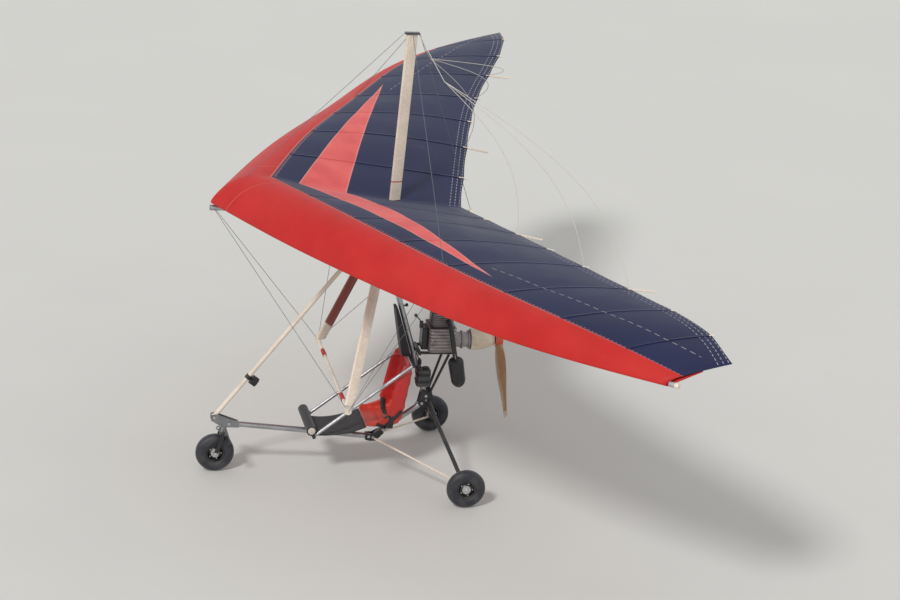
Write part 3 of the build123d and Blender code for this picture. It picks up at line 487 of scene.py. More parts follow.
# Batten pockets: raised strips sewn along each batten from the crest to the trailing edge,
# with the batten's end standing out behind. Two on each side stand out far.
def ribbon(bm, route, width, across=(1, 0, 0)):
    """A flat strip along points, of one width in one direction."""
    half = Vector(across).normalized() * width / 2
    rows = [(bm.verts.new(Vector(p) - half), bm.verts.new(Vector(p) + half)) for p in route]
    for (a, b), (c, d) in zip(rows, rows[1:]):
        bm.faces.new((a, b, d, c))


def rod(bm, start, end, radius, tip=None, sides=20):
    """A round bar between two points, tapered where a radius for its end is given."""
    start, end = Vector(start), Vector(end)
    turn = (end - start).to_track_quat("Z", "Y").to_matrix().to_4x4()
    bmesh.ops.create_cone(
        bm, cap_ends=True, segments=sides, radius1=radius, radius2=radius if tip is None else tip,
        depth=(end - start).length, matrix=Matrix.Translation((start + end) / 2) @ turn,
    )


pocket_width, pocket_rise, pocket_wall, pocket_steps = 0.024, 0.0018, 0.002, 32
far_stubs, far_reach, near_reach = (1.05, 2.6), 0.185, 0.022
stub_root, stub_radius, stub_tip = 0.97, 0.0085, 0.0075
pockets, stubs = bmesh.new(), bmesh.new()
for batten in (0, *battens):
    for span in {batten, -batten}:  # one pocket only in the middle
        shares = [i / pocket_steps for i in range(pocket_steps + 1)]
        ribbon(pockets, [sail_point(span, "upper", share, pocket_rise) for share in shares], pocket_width)
        tail, before = sail_point(span, "upper", 1), sail_point(span, "upper", stub_root)
        if batten:
            reach = far_reach if batten in far_stubs else near_reach
            rod(stubs, before, tail + (tail - before).normalized() * reach, stub_radius, stub_tip, 12)
pockets_made = piece("batten_pockets", pockets, upper_cloth, "wing")
thicken(pockets_made, pocket_wall)
piece("batten_stubs", stubs, cream_paint, "wing")


# Wing fittings: the paint of the uprights, with painted shade and reflected red on their inner
# faces, and of the kingpost, red grips on the base bar, the kingpost's foot and boot, sleeves and
# caps on the tip tubes, and a cream ring on the keel's end.
def block(bm, centre, size, edge):
    """A box with small rounded edges."""
    place = Matrix.Translation(centre) @ Matrix.Diagonal((*size, 1))
    made = bmesh.ops.create_cube(bm, size=1, matrix=place)
    edges = list({e for v in made["verts"] for e in v.link_edges})
    bmesh.ops.bevel(bm, geom=edges, offset=edge, segments=2, profile=0.5, affect="EDGES")


def turned(bm, profile, foot, way, steps=48):
    """A turned solid: (distance along, radius) points spun about a line."""
    foot, way = Vector(foot), Vector(way).normalized()
    side = way.orthogonal().normalized()
    line = [bm.verts.new(foot + way * along + side * max(radius, 1e-5)) for along, radius in profile]
    edges = [bm.edges.new(pair) for pair in zip(line, line[1:])]
    bmesh.ops.spin(bm, geom=line + edges, cent=foot, axis=way, angle=2 * pi, steps=steps, use_merge=True)


def closed(bm):
    """The same mesh with its doubled points joined and its faces turned outwards."""
    bmesh.ops.remove_doubles(bm, verts=bm.verts, dist=2e-5)
    bmesh.ops.recalc_face_normals(bm, faces=bm.faces)
    return bm


upright_top, upright_foot = (0.0434, 2.2389), (0.740, 0.840)  # x and z of an upright's ends
wedge_slope, wedge_low, wedge_high = 0.9, 0.62, 0.635
post_line, post_cap_foot = 2.52, 3.752


def upright_painted_shade(tree, axes, colour):
    """Painted shade with reflected red, in brick red, on the inner faces, down to an unshaded pale wedge at
    the foot.
    """
    x, y, z = axes
    lean = (upright_foot[0] - upright_top[0]) / (upright_top[1] - upright_foot[1])
    axis = calc(tree, "MULTIPLY_ADD", minus(tree, upright_top[1], z), lean, upright_top[0])
    inner = ramp(tree, minus(tree, axis, calc(tree, "ABSOLUTE", x)), 0.0, 0.002)
    above = ramp(tree, calc(tree, "MULTIPLY_ADD", y, wedge_slope, z), wedge_low, wedge_high)
    # Painted shade: the inner faces turn brick red above the wedge, as if shaded and lit by red light
    # reflected from the sail and seat.
    return blend(tree, times(tree, inner, above), colour, paint(136, 62, 56))


def post_marks(tree, axes, colour):
    """A thin red line low on the kingpost and a black cap."""
    colour = blend(tree, near_line(tree, axes[2], post_line, 0.004), colour, paint(190, 60, 50))
    return blend(tree, ramp(tree, axes[2], post_cap_foot, post_cap_foot + 0.002), colour, paint(40, 40, 44))


dress(drawn(weathered("upright_paint_and_shade", *cream, Coat_Weight=0.25), upright_painted_shade), "uprights")
dress(drawn(weathered("post_paint", *cream, Coat_Weight=0.25), post_marks), "kingpost")
silver_bright = weathered("silver_bright", (196, 198, 200), (130, 124, 118), 0.3, 20.0, 0.3, Metallic=0.9)
grip_rubber = weathered("grip_rubber", (186, 48, 42), (120, 60, 54), 0.4, 20.0, 0.6)
bar_y, bar_z, grip_end = -0.5, 0.84, 0.535
grip_profile = [(0, 0.0145), (0.003, 0.0175), (0.012, 0.0182), (0.118, 0.0182), (0.127, 0.0175),
                (0.13, 0.0145)]
cap_profile = [(0.046, 0.0191), (0.047, 0.0215), (0.074, 0.021), (0.079, 0.017), (0.080, 0.0)]
sleeve_profile = [(0.02, 0.0191), (0.021, 0.0205), (0.04, 0.0205), (0.041, 0.0191)]
tip_inner, tip_outer = (4.013, 1.152, 2.430), (4.067, 1.204, 2.434)
grips, caps, sleeves = bmesh.new(), bmesh.new(), bmesh.new()
for side in (-1, 1):
    turned(grips, grip_profile, (side * grip_end, bar_y, bar_z), (-side, 0, 0), 28)
    inner, outer = (Vector((side * x, y, z)) for x, y, z in (tip_inner, tip_outer))
    turned(caps, cap_profile, inner, outer - inner, 24)
    turned(sleeves, sleeve_profile, inner, outer - inner, 24)
keel_end, keel_way = (0, 0.560, 2.254), (0, 2.146, -0.034)
ring_profile = [(-0.030, 0.0231), (-0.029, 0.0255), (-0.002, 0.0255), (0.001, 0.0235), (0.001, 0.0203),
                (-0.012, 0.0203)]
turned(caps, ring_profile, keel_end, keel_way, 32)
post_foot, post_y = bmesh.new(), -0.102
block(post_foot, (0, post_y, 2.318), (0.044, 0.112, 0.050), 0.006)
block(post_foot, (0, post_y + 0.002, 2.352), (0.040, 0.104, 0.026), 0.008)
rod(post_foot, (-0.026, post_y, 2.322), (0.026, post_y, 2.322), 0.007, sides=6)
piece("bar_grips", closed(grips), grip_rubber, "wing")
piece("end_caps", closed(caps), cream_paint, "wing")
piece("tip_sleeves", closed(sleeves), silver_bright, "wing")
piece("kingpost_foot", post_foot, black_paint, "wing")


# Bridles and stays: thin cords from the kingpost's cap through a ring on each side to the
# trailing edge, where they are tied on. They bow aft in a long curve. The stays are steel wire.
def lines(name, routes, radius, material, body, steps=4):
    """Round cords of one radius along smooth routes."""
    curve = bpy.data.curves.new(name, "CURVE")
    curve.dimensions = "3D"
    curve.bevel_depth = radius
    curve.bevel_resolution = 2
    curve.use_fill_caps = True
    for route in routes:
        spline = curve.splines.new("NURBS")
        spline.points.add(len(route) - 1)
        for point, place in zip(spline.points, route):
            point.co = (*place, 1)
        spline.order_u = 3
        spline.use_endpoint_u = True
        spline.resolution_u = steps
    curve.materials.append(material)
    made = bpy.data.objects.new(name, curve)
    scene.collection.objects.link(made)
    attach(made, body)
    return made


steel_wire = weathered("steel_wire", (120, 122, 126), (80, 76, 72), 0.3, 30.0, 0.4, relief=0.0004,
                       Metallic=0.8)
dress(steel_wire, "lower_stays", "upper_stays")
bridle_cord = weathered("bridle_cord", (206, 204, 198), (150, 144, 136), 0.3, 30.0, 0.5, relief=0.0004)
post_cap, ring_place, bridle_radius = Vector((0, 0.005, 3.757)), (0.30, 0.175, 3.46), 0.0026
bridle_bow = {1.05: 0.21, 2.05: 0.28, 2.6: 0.36}  # how far aft each one bows, by its span
bridle_shares = (0, 0.15, 0.35, 0.55, 0.75, 0.9, 1)
tie_share, tie_rise = 0.985, 0.004
stay_foot, stay_top = (0.770, -0.5, 0.84), (2.0, -0.15, 2.36)
ferrule_from, ferrule_to, ferrule_radius = 0.035, 0.085, 0.0045
bridles, stay_ferrules = [], bmesh.new()
for side in (-1, 1):
    ring, foot, top = (Vector((side * x, y, z)) for x, y, z in (ring_place, stay_foot, stay_top))
    bridles.append([post_cap, (post_cap + ring) / 2, ring])
    for span, bow in bridle_bow.items():
        tie = sail_point(side * span, "upper", tie_share, tie_rise)
        bridles.append([ring + (tie - ring) * t + Vector((0, bow * sin(pi * t), 0)) for t in bridle_shares])
    way = (top - foot).normalized()
    rod(stay_ferrules, foot + way * ferrule_from, foot + way * ferrule_to, ferrule_radius, sides=12)
lines("bridles", bridles, bridle_radius, bridle_cord, "wing")
piece("stay_ferrules", stay_ferrules, silver_bright, "wing")


# Tyres and wheels: smooth balloon tyres of dark rubber with a soft sheen, on black rims with a
# pale hub, five bolts and a nut on each axle.
def middle(name):
    """The centre of a CAD node's box."""
    low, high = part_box(name)
    return (Vector(low) + Vector(high)) / 2


rubber = weathered("rubber", (38, 41, 50), (96, 92, 88), 0.45, 11.0, 0.52, relief=0.0008, strength=0.3,
                   Sheen_Weight=0.2, Sheen_Roughness=0.4)
half_tyre = ((0.0752, 0.030), (0.0790, 0.0385), (0.0840, 0.0425), (0.0950, 0.0460), (0.1150, 0.0475),
             (0.1340, 0.0440), (0.1480, 0.0345), (0.1565, 0.0210))  # radius and half width
tyre_profile = [(-w, r) for r, w in half_tyre] + [(0, 0.160)] + [(w, r) for r, w in reversed(half_tyre)]
tyre_profile.append(tyre_profile[0])
bolt_ring, rim_bolts, bolt_radius, bolt_from, bolt_to = 0.050, 5, 0.006, 0.013, 0.024
valve_foot, valve_end, valve_radius = Vector((-0.004, 0, 0.060)), Vector((0.030, 0, 0.066)), 0.004
hub_edge, hub_grey = 0.035, paint(178, 178, 178)
nose_y, rear_y, axle_z = middle("nose_tyre").y, middle("rear_left_tyre").y, middle("nose_tyre").z
for name in ("nose", "rear_left", "rear_right"):
    centre, body = middle(f"{name}_tyre"), f"{name}_wheel"
    tyre, bolts = bmesh.new(), bmesh.new()
    turned(tyre, tyre_profile, centre, (1, 0, 0), 72)
    made = piece(f"{name}_tyre_rubber", closed(tyre), rubber, body, 55)
    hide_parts(f"{name}_tyre")
    dress(rubber, f"{name}_tyre")
    for side in (-1, 1):
        for i in range(rim_bolts):
            angle = 2 * pi * i / rim_bolts
            foot = centre + Vector((0, cos(angle), sin(angle))) * bolt_ring
            reach = Vector((side, 0, 0))
            rod(bolts, foot + reach * bolt_from, foot + reach * bolt_to, bolt_radius, sides=6)
    rod(bolts, centre + valve_foot, centre + valve_end, valve_radius, sides=12)
    piece(f"{name}_wheel_bolts", bolts, silver_bright, body)


def apart(tree, across, up):
    """How far a point lies from an axis, from its distances across and up."""
    return calc(tree, "SQRT", plus(tree, times(tree, across, across), times(tree, up, up)))


def rim_marks(tree, axes, colour):
    """A pale hub in the middle of each black rim."""
    x, y, z = axes
    along = minus(tree, y, ramp(tree, y, -0.6, -0.4, nose_y, rear_y))
    out = apart(tree, along, minus(tree, z, axle_z))
    return blend(tree, ramp(tree, out, hub_edge - 0.0005, hub_edge + 0.0005, 1.0, 0.0), colour, hub_grey)


rim_black = weathered("rim_black", (34, 35, 40), (104, 98, 92), 0.45, 14.0, 0.4, Coat_Weight=0.2)
dress(drawn(rim_black, rim_marks), "nose_rim", "rear_left_rim", "rear_right_rim")
axle_nuts, fork_nuts = bmesh.new(), bmesh.new()
washer_radius, nut_radius = 0.020, 0.0165
for bm, y, washer, nut, end in (
    (axle_nuts, rear_y, 0.8235, 0.826, 0.838),
    (fork_nuts, nose_y, 0.0662, 0.0682, 0.080),
):
    for side in (-1, 1):
        rod(bm, (side * washer, y, axle_z), (side * nut, y, axle_z), washer_radius, sides=28)
        rod(bm, (side * nut, y, axle_z), (side * end, y, axle_z), nut_radius, sides=6)
piece("axle_nuts", axle_nuts, silver_bright, "root")
piece("fork_nuts", fork_nuts, silver_bright, "nose_fork")


# Seat: a red padded bucket whose sides rise into wings. Sewn channels run across the back, a
# paler band tops it, and piping follows its edge. Its path runs from the front lip to the top.
seat_path = ((-0.226, 0.458, 0.018), (-0.13, 0.452, 0.050), (-0.02, 0.462, 0.085), (0.050, 0.505, 0.118),
             (0.078, 0.620, 0.118), (0.100, 0.780, 0.110), (0.117, 0.920, 0.096), (0.098, 1.004, 0.052))
seat_half, corner_round, seat_wall = 0.192, 0.035, 0.011
seat_steps = np.arange(len(seat_path))
seat_y, seat_z, wing_rise = np.array(seat_path).T


def seat_point(across, along, off=0.0):
    """A point of the seat, by its share across from -1 to 1 and its place along the path."""
    y, z = natural_spline(seat_steps, seat_y, along), natural_spline(seat_steps, seat_z, along)
    step = 0.01
    run = Vector((0, natural_spline(seat_steps, seat_y, along + step) - y,
                  natural_spline(seat_steps, seat_z, along + step) - z)).normalized()
    up = Vector((0, -run.z, run.y))
    rise = natural_spline(seat_steps, wing_rise, along)
    flat, bend = seat_half - corner_round, corner_round * pi / 2
    reach = abs(across) * (flat + bend + max(rise - corner_round, 0))
    side = 1 if across > 0 else -1
    if reach < flat:
        x, lift, normal = reach, 0.0, up
    elif reach < flat + bend:
        angle = (reach - flat) / corner_round
        x, lift = flat + corner_round * sin(angle), corner_round * (1 - cos(angle))
        normal = up * cos(angle) - Vector((side * sin(angle), 0, 0))
    else:
        x, lift, normal = seat_half, corner_round + reach - flat - bend, Vector((-side, 0, 0))
    return Vector((side * x, y, z)) + up * lift + normal * off


seat_columns, seat_rows = 45, 71
last = len(seat_path) - 1
pan_end, pan_puff, channel_puff = 0.6, 0.004, 0.006
seat_mesh = bmesh.new()
bmesh.ops.create_grid(seat_mesh, x_segments=seat_columns - 1, y_segments=seat_rows - 1, size=1)
for v in seat_mesh.verts:
    across, along = v.co.x, (v.co.y + 1) / 2 * last
    puff = pan_puff
    if along > pan_end:
        puff = channel_puff * abs(sin(pi * along * 1.5)) ** 0.6 * (1 - abs(across) ** 6)
    v.co = seat_point(across, along, puff)

band_foot, pan_low, pan_high = 0.93, 0.50, 0.54  # heights of the pale band and of the bright pan
band_pink, pan_orange, seat_thread = paint(206, 92, 90), paint(214, 74, 48), paint(60, 20, 24)


def seat_marks(tree, axes, colour):
    """A paler band on top, a brighter pan below and dark stitching under the band."""
    x, y, z = axes
    top = ramp(tree, z, band_foot - 0.002, band_foot + 0.002)
    colour = blend(tree, times(tree, top, 0.8), colour, band_pink)
    low = ramp(tree, z, pan_low, pan_high, 1.0, 0.0)
    colour = blend(tree, times(tree, low, 0.5), colour, pan_orange)
    return seam(tree, colour, seat_thread, z, band_foot, 0.0015, x, 0.012, 0.8)


seat_fabric = drawn(finish("seat_fabric", cloth, {
    "Colour": paint(186, 34, 32), "Fade": paint(198, 58, 52),
    "Threads": 1800.0, "Creases": 16.0, "Gloss": 0.5,
}, relief=0.004, strength=0.5, Sheen_Weight=0.2), seat_marks)
seat_made = piece("seat_padding", seat_mesh, seat_fabric, "root", 60)
thicken(seat_made, seat_wall, -1.0)
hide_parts("seat_bucket")
dress(seat_fabric, "seat_bucket")
edge_steps, top_steps, piping_radius = 8 * last, 24, 0.0045
edge_places = [(-1, i / 8) for i in range(edge_steps + 1)]
edge_places += [(-1 + 2 * i / top_steps, last) for i in range(1, top_steps + 1)]
edge_places += [(1, last - i / 8) for i in range(1, edge_steps + 1)]
piping = [seat_point(across, along, -0.004) for across, along in edge_places]
lines("seat_piping", [piping], piping_radius, seat_fabric, "root", 2)


# Seat sling, roll and back pad: a black cloth that sags between the front cross tube and the
# bucket, a padded roll with pale foam ends, and a tall tapered pad against the mast.
black_cloth = finish("black_cloth", cloth, {
    "Colour": paint(30, 30, 34), "Fade": paint(46, 45, 48),
    "Threads": 1600.0, "Creases": 14.0, "Gloss": 0.7,
}, relief=0.004, strength=0.5, Sheen_Weight=0.15)
foam = finish("foam", cloth, {
    "Colour": paint(206, 200, 190), "Fade": paint(180, 170, 158),
    "Threads": 2400.0, "Creases": 40.0, "Gloss": 0.8,
})
sling_front, sling_back, sling_half, sling_sag = (-0.650, 0.3905), (-0.229, 0.4555), 0.2, 0.034
sling_mesh = bmesh.new()
bmesh.ops.create_grid(sling_mesh, x_segments=24, y_segments=28, size=1)
for v in sling_mesh.verts:
    t = (v.co.y + 1) / 2
    y = sling_front[0] + (sling_back[0] - sling_front[0]) * t
    sag = sling_sag * (4 * t * (1 - t)) * (1 - 0.12 * v.co.x ** 2)
    ripple = 0.0015 * sin(30 * v.co.x + 9 * t)
    z = sling_front[1] + (sling_back[1] - sling_front[1]) * t - sag
    v.co = Vector((v.co.x * sling_half, y, z + ripple))
sling_made = piece("sling_cloth", sling_mesh, black_cloth, "root")
thicken(sling_made, 0.003)
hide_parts("seat_sling")

roll_centre, roll_radius, roll_half = middle("seat_roll"), 0.0415, 0.236
roll_mesh, foam_mesh = bmesh.new(), bmesh.new()
roll_profile = [(-roll_half + 0.004, 0.0), (-roll_half + 0.004, 0.030), (-roll_half + 0.001, 0.037)]
roll_profile += [(roll_half * (i / 12 - 1) * 0.99, roll_radius - 0.0012 * (i % 2)) for i in range(25)]
roll_profile += [(roll_half - 0.001, 0.037), (roll_half - 0.004, 0.030), (roll_half - 0.004, 0.0)]
turned(roll_mesh, roll_profile, roll_centre, (1, 0, 0), 40)
for side in (-1, 1):
    turned(foam_mesh, [(0.228, 0.0), (0.228, 0.031), (0.2345, 0.030), (0.236, 0.026), (0.236, 0.0)],
           roll_centre, (side, 0, 0), 40)
roll_made = piece("roll_cover", closed(roll_mesh), black_cloth, "root")
piece("roll_foam", closed(foam_mesh), foam, "root")
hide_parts("seat_roll")

pad_half, pad_low, pad_high = 0.073, 1.027, 1.438
pad_rear, pad_front = (0.1346, -0.0019), (0.0426, -0.0300)  # y at the bottom and at the top
pad_mesh = bmesh.new()
bmesh.ops.create_cube(pad_mesh, size=2)
bmesh.ops.subdivide_edges(pad_mesh, edges=pad_mesh.edges, cuts=13, use_grid_fill=True)
for v in pad_mesh.verts:
    a, b, c = v.co
    a *= 1 - 0.09 * b * b * c ** 4 - 0.05 * c ** 4
    b *= 1 - 0.16 * a * a - 0.12 * c ** 6
    height = (c + 1) / 2
    rear, front = (low + (high - low) * height for low, high in (pad_rear, pad_front))
    y = (rear + front) / 2 + b * (rear - front) / 2
    v.co = Vector((a * pad_half, y, pad_low + height * (pad_high - pad_low)))
pad_made = piece("pad_cover", pad_mesh, black_cloth, "root", 60)
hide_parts("back_pad")
dress(foam, "seat_roll")
dress(black_cloth, "seat_sling", "back_pad")


# Seat webbing: a lap belt of black webbing that goes round the bucket and over its sides, with
# a buckle in the middle, and a strap sewn in a V on each side of the bucket.
straps, buckle = bmesh.new(), bmesh.new()
belt_y, belt_width, strap_x = -0.03, 0.040, 0.207
belt_outer, belt_inner = 0.2055, 0.1785
belt_route = (  # x and z, from under the seat over its side to the buckle
    (0, 0.434), (0.185, 0.437), (belt_outer, 0.455), (belt_outer, 0.540), (0.199, 0.553), (0.186, 0.553),
    (belt_inner, 0.535), (belt_inner, 0.500), (0.150, 0.476), (0.06, 0.4705), (0, 0.470),
)
for side in (-1, 1):
    x = side * strap_x
    ribbon(straps, [(side * out, belt_y, z) for out, z in belt_route], belt_width, (0, 1, 0))
    ribbon(straps, [(x, 0.055, 0.600), (x, -0.080, 0.455)], 0.030, (0, 0.73, -0.68))
    ribbon(straps, [(x, -0.150, 0.486), (x, -0.072, 0.450)], 0.028, (0, 0.45, 0.89))
block(buckle, (0, belt_y, 0.475), (0.062, 0.050, 0.008), 0.003)
piece("belt_buckle", buckle, silver_bright, "root")
webbing = piece("seat_webbing", straps, black_cloth, "root")
thicken(webbing, 0.0022)


# Instrument: a round black case clamped on the front strut, with a pale metal ring, a black
# dial with twelve marks and one pointer. It carries no figures.
instrument_plastic = weathered("instrument_plastic", (30, 31, 34), (84, 80, 78), 0.25, 18.0, 0.45)
dress(instrument_plastic, "instrument")
strut_point, strut_aft = Vector((0, -1.1978, 0.8261)), Vector((0, 0.79799, -0.60267))
dial_side, dial_up = Vector((1, 0, 0)), strut_aft.cross(Vector((1, 0, 0)))
bezel_profile = [(0.084, 0.0395), (0.085, 0.0405), (0.088, 0.0405), (0.0895, 0.038), (0.0895, 0.034),
                 (0.0875, 0.033)]
dial_profile = [(0.0862, 0.034), (0.0868, 0.0335), (0.0868, 0.0)]
mark_count, mark_from, mark_to, mark_radius = 12, 0.024, 0.030, 0.0009
dial, bezel, marks = bmesh.new(), bmesh.new(), bmesh.new()
turned(bezel, bezel_profile, strut_point, strut_aft, 40)
turned(dial, dial_profile, strut_point, strut_aft, 40)
mark_centre, pointer_foot = strut_point + strut_aft * 0.0871, strut_point + strut_aft * 0.0876
for i in range(mark_count):
    angle = 2 * pi * i / mark_count
    spoke = dial_side * cos(angle) + dial_up * sin(angle)
    rod(marks, mark_centre + spoke * mark_from, mark_centre + spoke * mark_to, mark_radius, sides=6)
rod(marks, pointer_foot, pointer_foot + dial_up * 0.022, 0.0011, 0.0004, 8)
piece("dial_bezel", closed(bezel), silver_bright, "root")
piece("dial_face", closed(dial), instrument_plastic, "root")
piece("dial_marks", marks, foam, "root")


# Engine: grey cast metal with a black band between block and head, a spark plug with its lead,
# a carburettor with its filter, a throttle lever by the intake, and springs on the exhaust.
cast_grey = weathered("cast_grey", (172, 166, 168), (84, 78, 76), 0.5, 16.0, 0.55, relief=0.0015,
                      Metallic=0.3)
heat_black = weathered("heat_black", (34, 37, 42), (92, 72, 60), 0.4, 12.0, 0.48)
dress(cast_grey, "crankcase", "cylinder", "drive_case")
dress(heat_black, "silencer", "exhaust_pipe")
engine_y, shaft_z = middle("crankcase").y, 1.150
plug_foot, case_bolts = (0, engine_y, 1.4235), 8
lever_profile = [(0, 0.0), (0.002, 0.012), (0.012, 0.014), (0.022, 0.012), (0.024, 0)]
plug_profile = [(0, 0.013), (0.014, 0.013), (0.015, 0.008), (0.020, 0.008), (0.021, 0.0105),
                (0.034, 0.0105), (0.036, 0.006), (0.058, 0.005), (0.058, 0)]
plug_cap_profile = [(0.040, 0.009), (0.042, 0.012), (0.066, 0.012), (0.070, 0.008), (0.070, 0)]
carburettor_profile = [(0, 0.0), (0.0, 0.026), (0.03, 0.026), (0.034, 0.034), (0.060, 0.034), (0.066, 0.024),
                       (0.092, 0.022), (0.092, 0)]
bowl_profile = [(0, 0.0), (0.0, 0.018), (0.044, 0.018), (0.050, 0.012), (0.050, 0)]
filter_profile = [(0, 0.0), (0.0, 0.038), (0.050, 0.040), (0.056, 0.034), (0.056, 0)]
band, fittings, dark_fittings = bmesh.new(), bmesh.new(), bmesh.new()
block(band, (0, engine_y, 1.2885), (0.196, 0.200, 0.010), 0.003)
block(dark_fittings, (0.040, 0.198, 1.300), (0.016, 0.030, 0.060), 0.003)
rod(dark_fittings, (0.040, 0.190, 1.330), (0.040, 0.150, 1.375), 0.005, sides=12)
turned(dark_fittings, lever_profile, (0.040, 0.155, 1.369), (0, -0.66, 0.75), 20)
turned(fittings, plug_profile, plug_foot, (0, 0, 1), 24)
turned(dark_fittings, plug_cap_profile, plug_foot, (0, 0, 1), 24)
turned(fittings, carburettor_profile, (-0.121, engine_y, 1.205), (-1, 0, 0), 32)
turned(fittings, bowl_profile, (-0.165, engine_y, 1.160), (0, 0, -1), 28)
turned(dark_fittings, filter_profile, (-0.213, engine_y, 1.205), (-1, 0, 0), 36)
for x in (-0.07, 0.07):
    for y in (-0.075, 0.075):
        rod(fittings, (x, engine_y + y, 1.420), (x, engine_y + y, 1.432), 0.008, sides=6)
for z in (1.115, 1.185, 1.255):
    for y in (-0.09, 0.09):
        for x in (-0.1205, 0.1205):
            rod(fittings, (x * 0.97, engine_y + y, z), (x * 1.02, engine_y + y, z), 0.006, sides=6)
for i in range(case_bolts):
    angle = 2 * pi * i / case_bolts
    x, z = 0.066 * cos(angle), shaft_z + 0.066 * sin(angle)
    rod(fittings, (x, 0.612, z), (x, 0.622, z), 0.0045, sides=6)
piece("engine_band", band, black_paint, "root")
piece("engine_fittings", closed(fittings), silver_bright, "root")
piece("engine_dark_fittings", closed(dark_fittings), black_paint, "root")
hose_rubber = weathered("hose_rubber", (26, 26, 30), (80, 76, 74), 0.3, 20.0, 0.5)
spark_route = [(0, engine_y, 1.488), (0, engine_y - 0.01, 1.51), (0.05, engine_y - 0.06, 1.50),
               (0.10, engine_y - 0.10, 1.42), (0.112, engine_y - 0.114, 1.30),
               (0.105, engine_y - 0.108, 1.270)]
lines("spark_lead", [spark_route], 0.0042, hose_rubber, "root", 8)
spring_turn, spring_rise, spring_steps, spring_radius = 0.9, 0.0007, 70, 0.005
springs = []
for side in (-1, 1):
    foot, way = Vector((0.176 + side * 0.026, 0.470, 1.052)), Vector((0, -0.2021, 0.9794))
    springs.append([
        foot + way * (spring_rise * i)
        + Vector((spring_radius * cos(i * spring_turn), spring_radius * sin(i * spring_turn), 0))
        for i in range(spring_steps)
    ])
lines("exhaust_springs", springs, 0.0011, silver_bright, "root", 2)


# Fuel tank and line: a dark plastic tank with a filler cap, held by two black straps, and a
# rubber line with a primer bulb that runs to the carburettor.
tank_plastic = weathered("tank_plastic", (62, 62, 66), (104, 100, 96), 0.3, 7.0, 0.5, Coat_Weight=0.1)
dress(tank_plastic, "fuel_tank")
tank_low, tank_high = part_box("fuel_tank")
fuel_route = [(0.06, 0.215, tank_high.z - 0.004), (0.06, 0.20, 1.00), (-0.02, 0.17, 1.05),
              (-0.12, 0.25, 1.12), (-0.165, engine_y - 0.04, 1.150), (-0.165, engine_y, 1.120)]
lines("fuel_line", [fuel_route], 0.0045, hose_rubber, "root", 8)
bulb_profile = [(-0.034, 0.005), (-0.030, 0.010), (-0.022, 0.011), (-0.014, 0.0165), (0.014, 0.0165),
                (0.022, 0.011), (0.030, 0.010), (0.034, 0.005)]
filler_profile = [(0, 0.026), (0.014, 0.026), (0.018, 0.022), (0.018, 0.0)]
primer = bmesh.new()
turned(primer, bulb_profile, (0.060, 0.203, 0.975), (0, -0.1, 1), 28)
turned(primer, filler_profile, (0.085, 0.255, tank_high.z - 0.002), (0, 0, 1), 32)
piece("fuel_fittings", closed(primer), hose_rubber, "root")
tank_strap, strap_width = bmesh.new(), 0.022
proud, bend, corner = 0.001, 0.006, 0.02
for share in (0.3, 0.7):
    z = tank_low.z + (tank_high.z - tank_low.z) * share
    front = [(tank_low.x + bend, tank_low.y - proud), (tank_high.x - corner, tank_low.y - proud),
             (tank_high.x - bend, tank_low.y + bend), (tank_high.x + proud, tank_low.y + corner)]
    back = [(x, tank_low.y + tank_high.y - y) for x, y in reversed(front)]
    ribbon(tank_strap, [(x, y, z) for x, y in front + back], strap_width, (0, 0, 1))
strap_made = piece("tank_straps", tank_strap, black_cloth, "root")
thicken(strap_made, 0.002)


# Propeller and shaft housing: laminated wood blades on an orange hub with a dark ring and six
# bolts, and a cream moulding with a dark line round its front rim.
rim_line, wood_pitch, hub_radius, tip_paint = 0.620, 900.0, 0.0605, 0.640
ring_radius, hub_face = 0.046, 0.888
line_dark, wood_dark, tip_pale = paint(60, 56, 54), paint(120, 84, 56), paint(206, 196, 180)
hub_orange, ring_dark = paint(206, 78, 44), paint(44, 40, 40)


def housing_marks(tree, axes, colour):
    """A dark line round the front rim."""
    return blend(tree, ramp(tree, axes[1], rim_line, rim_line + 0.002, 1.0, 0.0), colour, line_dark)


def propeller_marks(tree, axes, colour):
    """Laminations along the blades, and the painted hub with its dark ring."""
    x, y, z = axes
    out = apart(tree, x, minus(tree, z, shaft_z))
    layers = calc(tree, "SINE", calc(tree, "MULTIPLY_ADD", y, wood_pitch, times(tree, out, 6.0)))
    colour = blend(tree, ramp(tree, layers, 0.2, 0.7, 0.0, 0.4), colour, wood_dark)
    tip = ramp(tree, out, tip_paint, tip_paint + 0.002)
    colour = blend(tree, times(tree, tip, 0.8), colour, tip_pale)
    colour = blend(tree, ramp(tree, out, hub_radius, hub_radius + 0.0015, 1.0, 0.0), colour, hub_orange)
    face = times(tree, near_line(tree, out, ring_radius, 0.004), ramp(tree, y, hub_face, hub_face + 0.002))
    return blend(tree, face, colour, ring_dark)


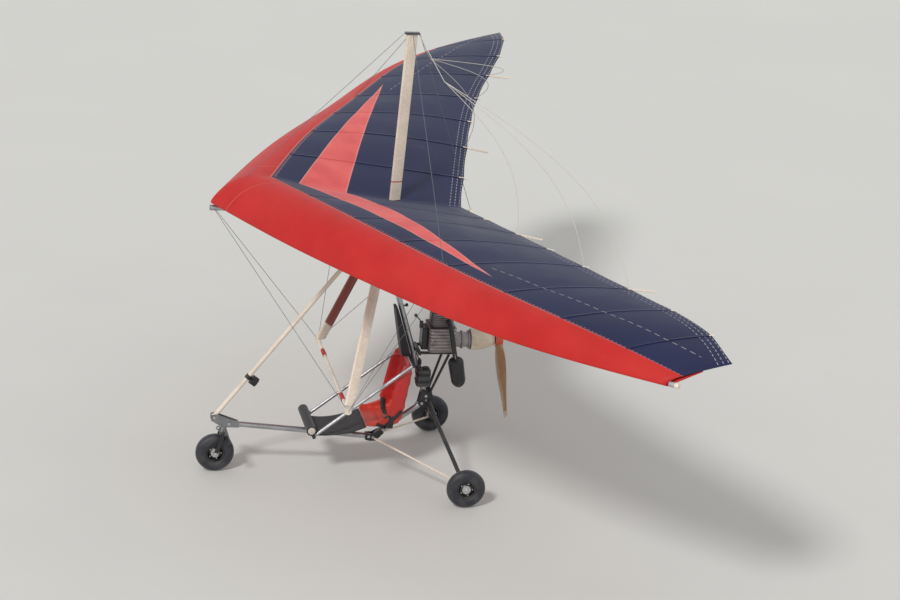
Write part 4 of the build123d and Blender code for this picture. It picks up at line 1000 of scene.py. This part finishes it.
housing_paint = weathered("housing_paint", (224, 212, 188), (150, 132, 110), 0.4, 8.0, 0.32, Coat_Weight=0.4)
blade_wood = weathered("blade_wood", (186, 150, 112), (120, 92, 66), 0.4, 10.0, 0.3, Coat_Weight=0.5,
                       Coat_Roughness=0.15)
dress(drawn(housing_paint, housing_marks), "shaft_housing")
dress(drawn(blade_wood, propeller_marks), "propeller")
hub_bolts, bolt_count, bolt_circle = bmesh.new(), 6, 0.034
for i in range(bolt_count):
    angle = 2 * pi * i / bolt_count
    x, z = bolt_circle * cos(angle), shaft_z + bolt_circle * sin(angle)
    rod(hub_bolts, (x, 0.8915, z), (x, 0.8985, z), 0.0055, sides=6)
piece("hub_bolts", hub_bolts, silver_bright, "propeller")


# Frame bolts and small parts: a bolt head and washer on both sides of each joint of the frame,
# rubber sleeves on the ends of the foot bar and a knob on the back of the mast.
def through_bolt(bm, place, reach, radius=0.007):
    """A bolt across the aircraft, with a washer and a hexagon at each end."""
    x, y, z = place
    for side in (-1, 1):
        seat, crown, head = (x + side * (reach + out) for out in (0, 0.0015, 0.008))
        rod(bm, (seat, y, z), (crown, y, z), radius * 1.7, sides=20)
        rod(bm, (crown, y, z), (head, y, z), radius, sides=6)


root_bolts, plate_face, mast_face = bmesh.new(), 0.0284, 0.0235
joint_bolts = ((-1.463, 0.475), (-1.338, 0.417), (-0.134, 0.290), (0.292, 0.615), (0.287, 0.655),
               (-0.170, 0.296), (0.255, 0.590))  # y and z
for y, z in joint_bolts:
    through_bolt(root_bolts, (0, y, z), plate_face)
through_bolt(root_bolts, (0, -0.170, 2.060), mast_face)
piece("frame_bolts", root_bolts, silver_bright, "root")
sleeve_foot = (0.146, -1.3465, 0.3138)
foot_profile = [(0, 0.0121), (0.001, 0.0155), (0.078, 0.0155), (0.080, 0.0165), (0.084, 0.0165),
                (0.086, 0.0)]
foot_pads = bmesh.new()
for side in (-1, 1):
    turned(foot_pads, foot_profile, (side * sleeve_foot[0], *sleeve_foot[1:]), (side, 0, 0), 24)
piece("foot_pads", closed(foot_pads), hose_rubber, "nose_fork")
knob_profile = [(0, 0.0), (0.001, 0.007), (0.018, 0.007), (0.020, 0.014), (0.034, 0.015), (0.040, 0.011),
                (0.042, 0)]
knob = bmesh.new()
turned(knob, knob_profile, (0, 0.045, 1.445), (0, 0.95, 0.31), 24)
piece("mast_knob", closed(knob), black_paint, "root")
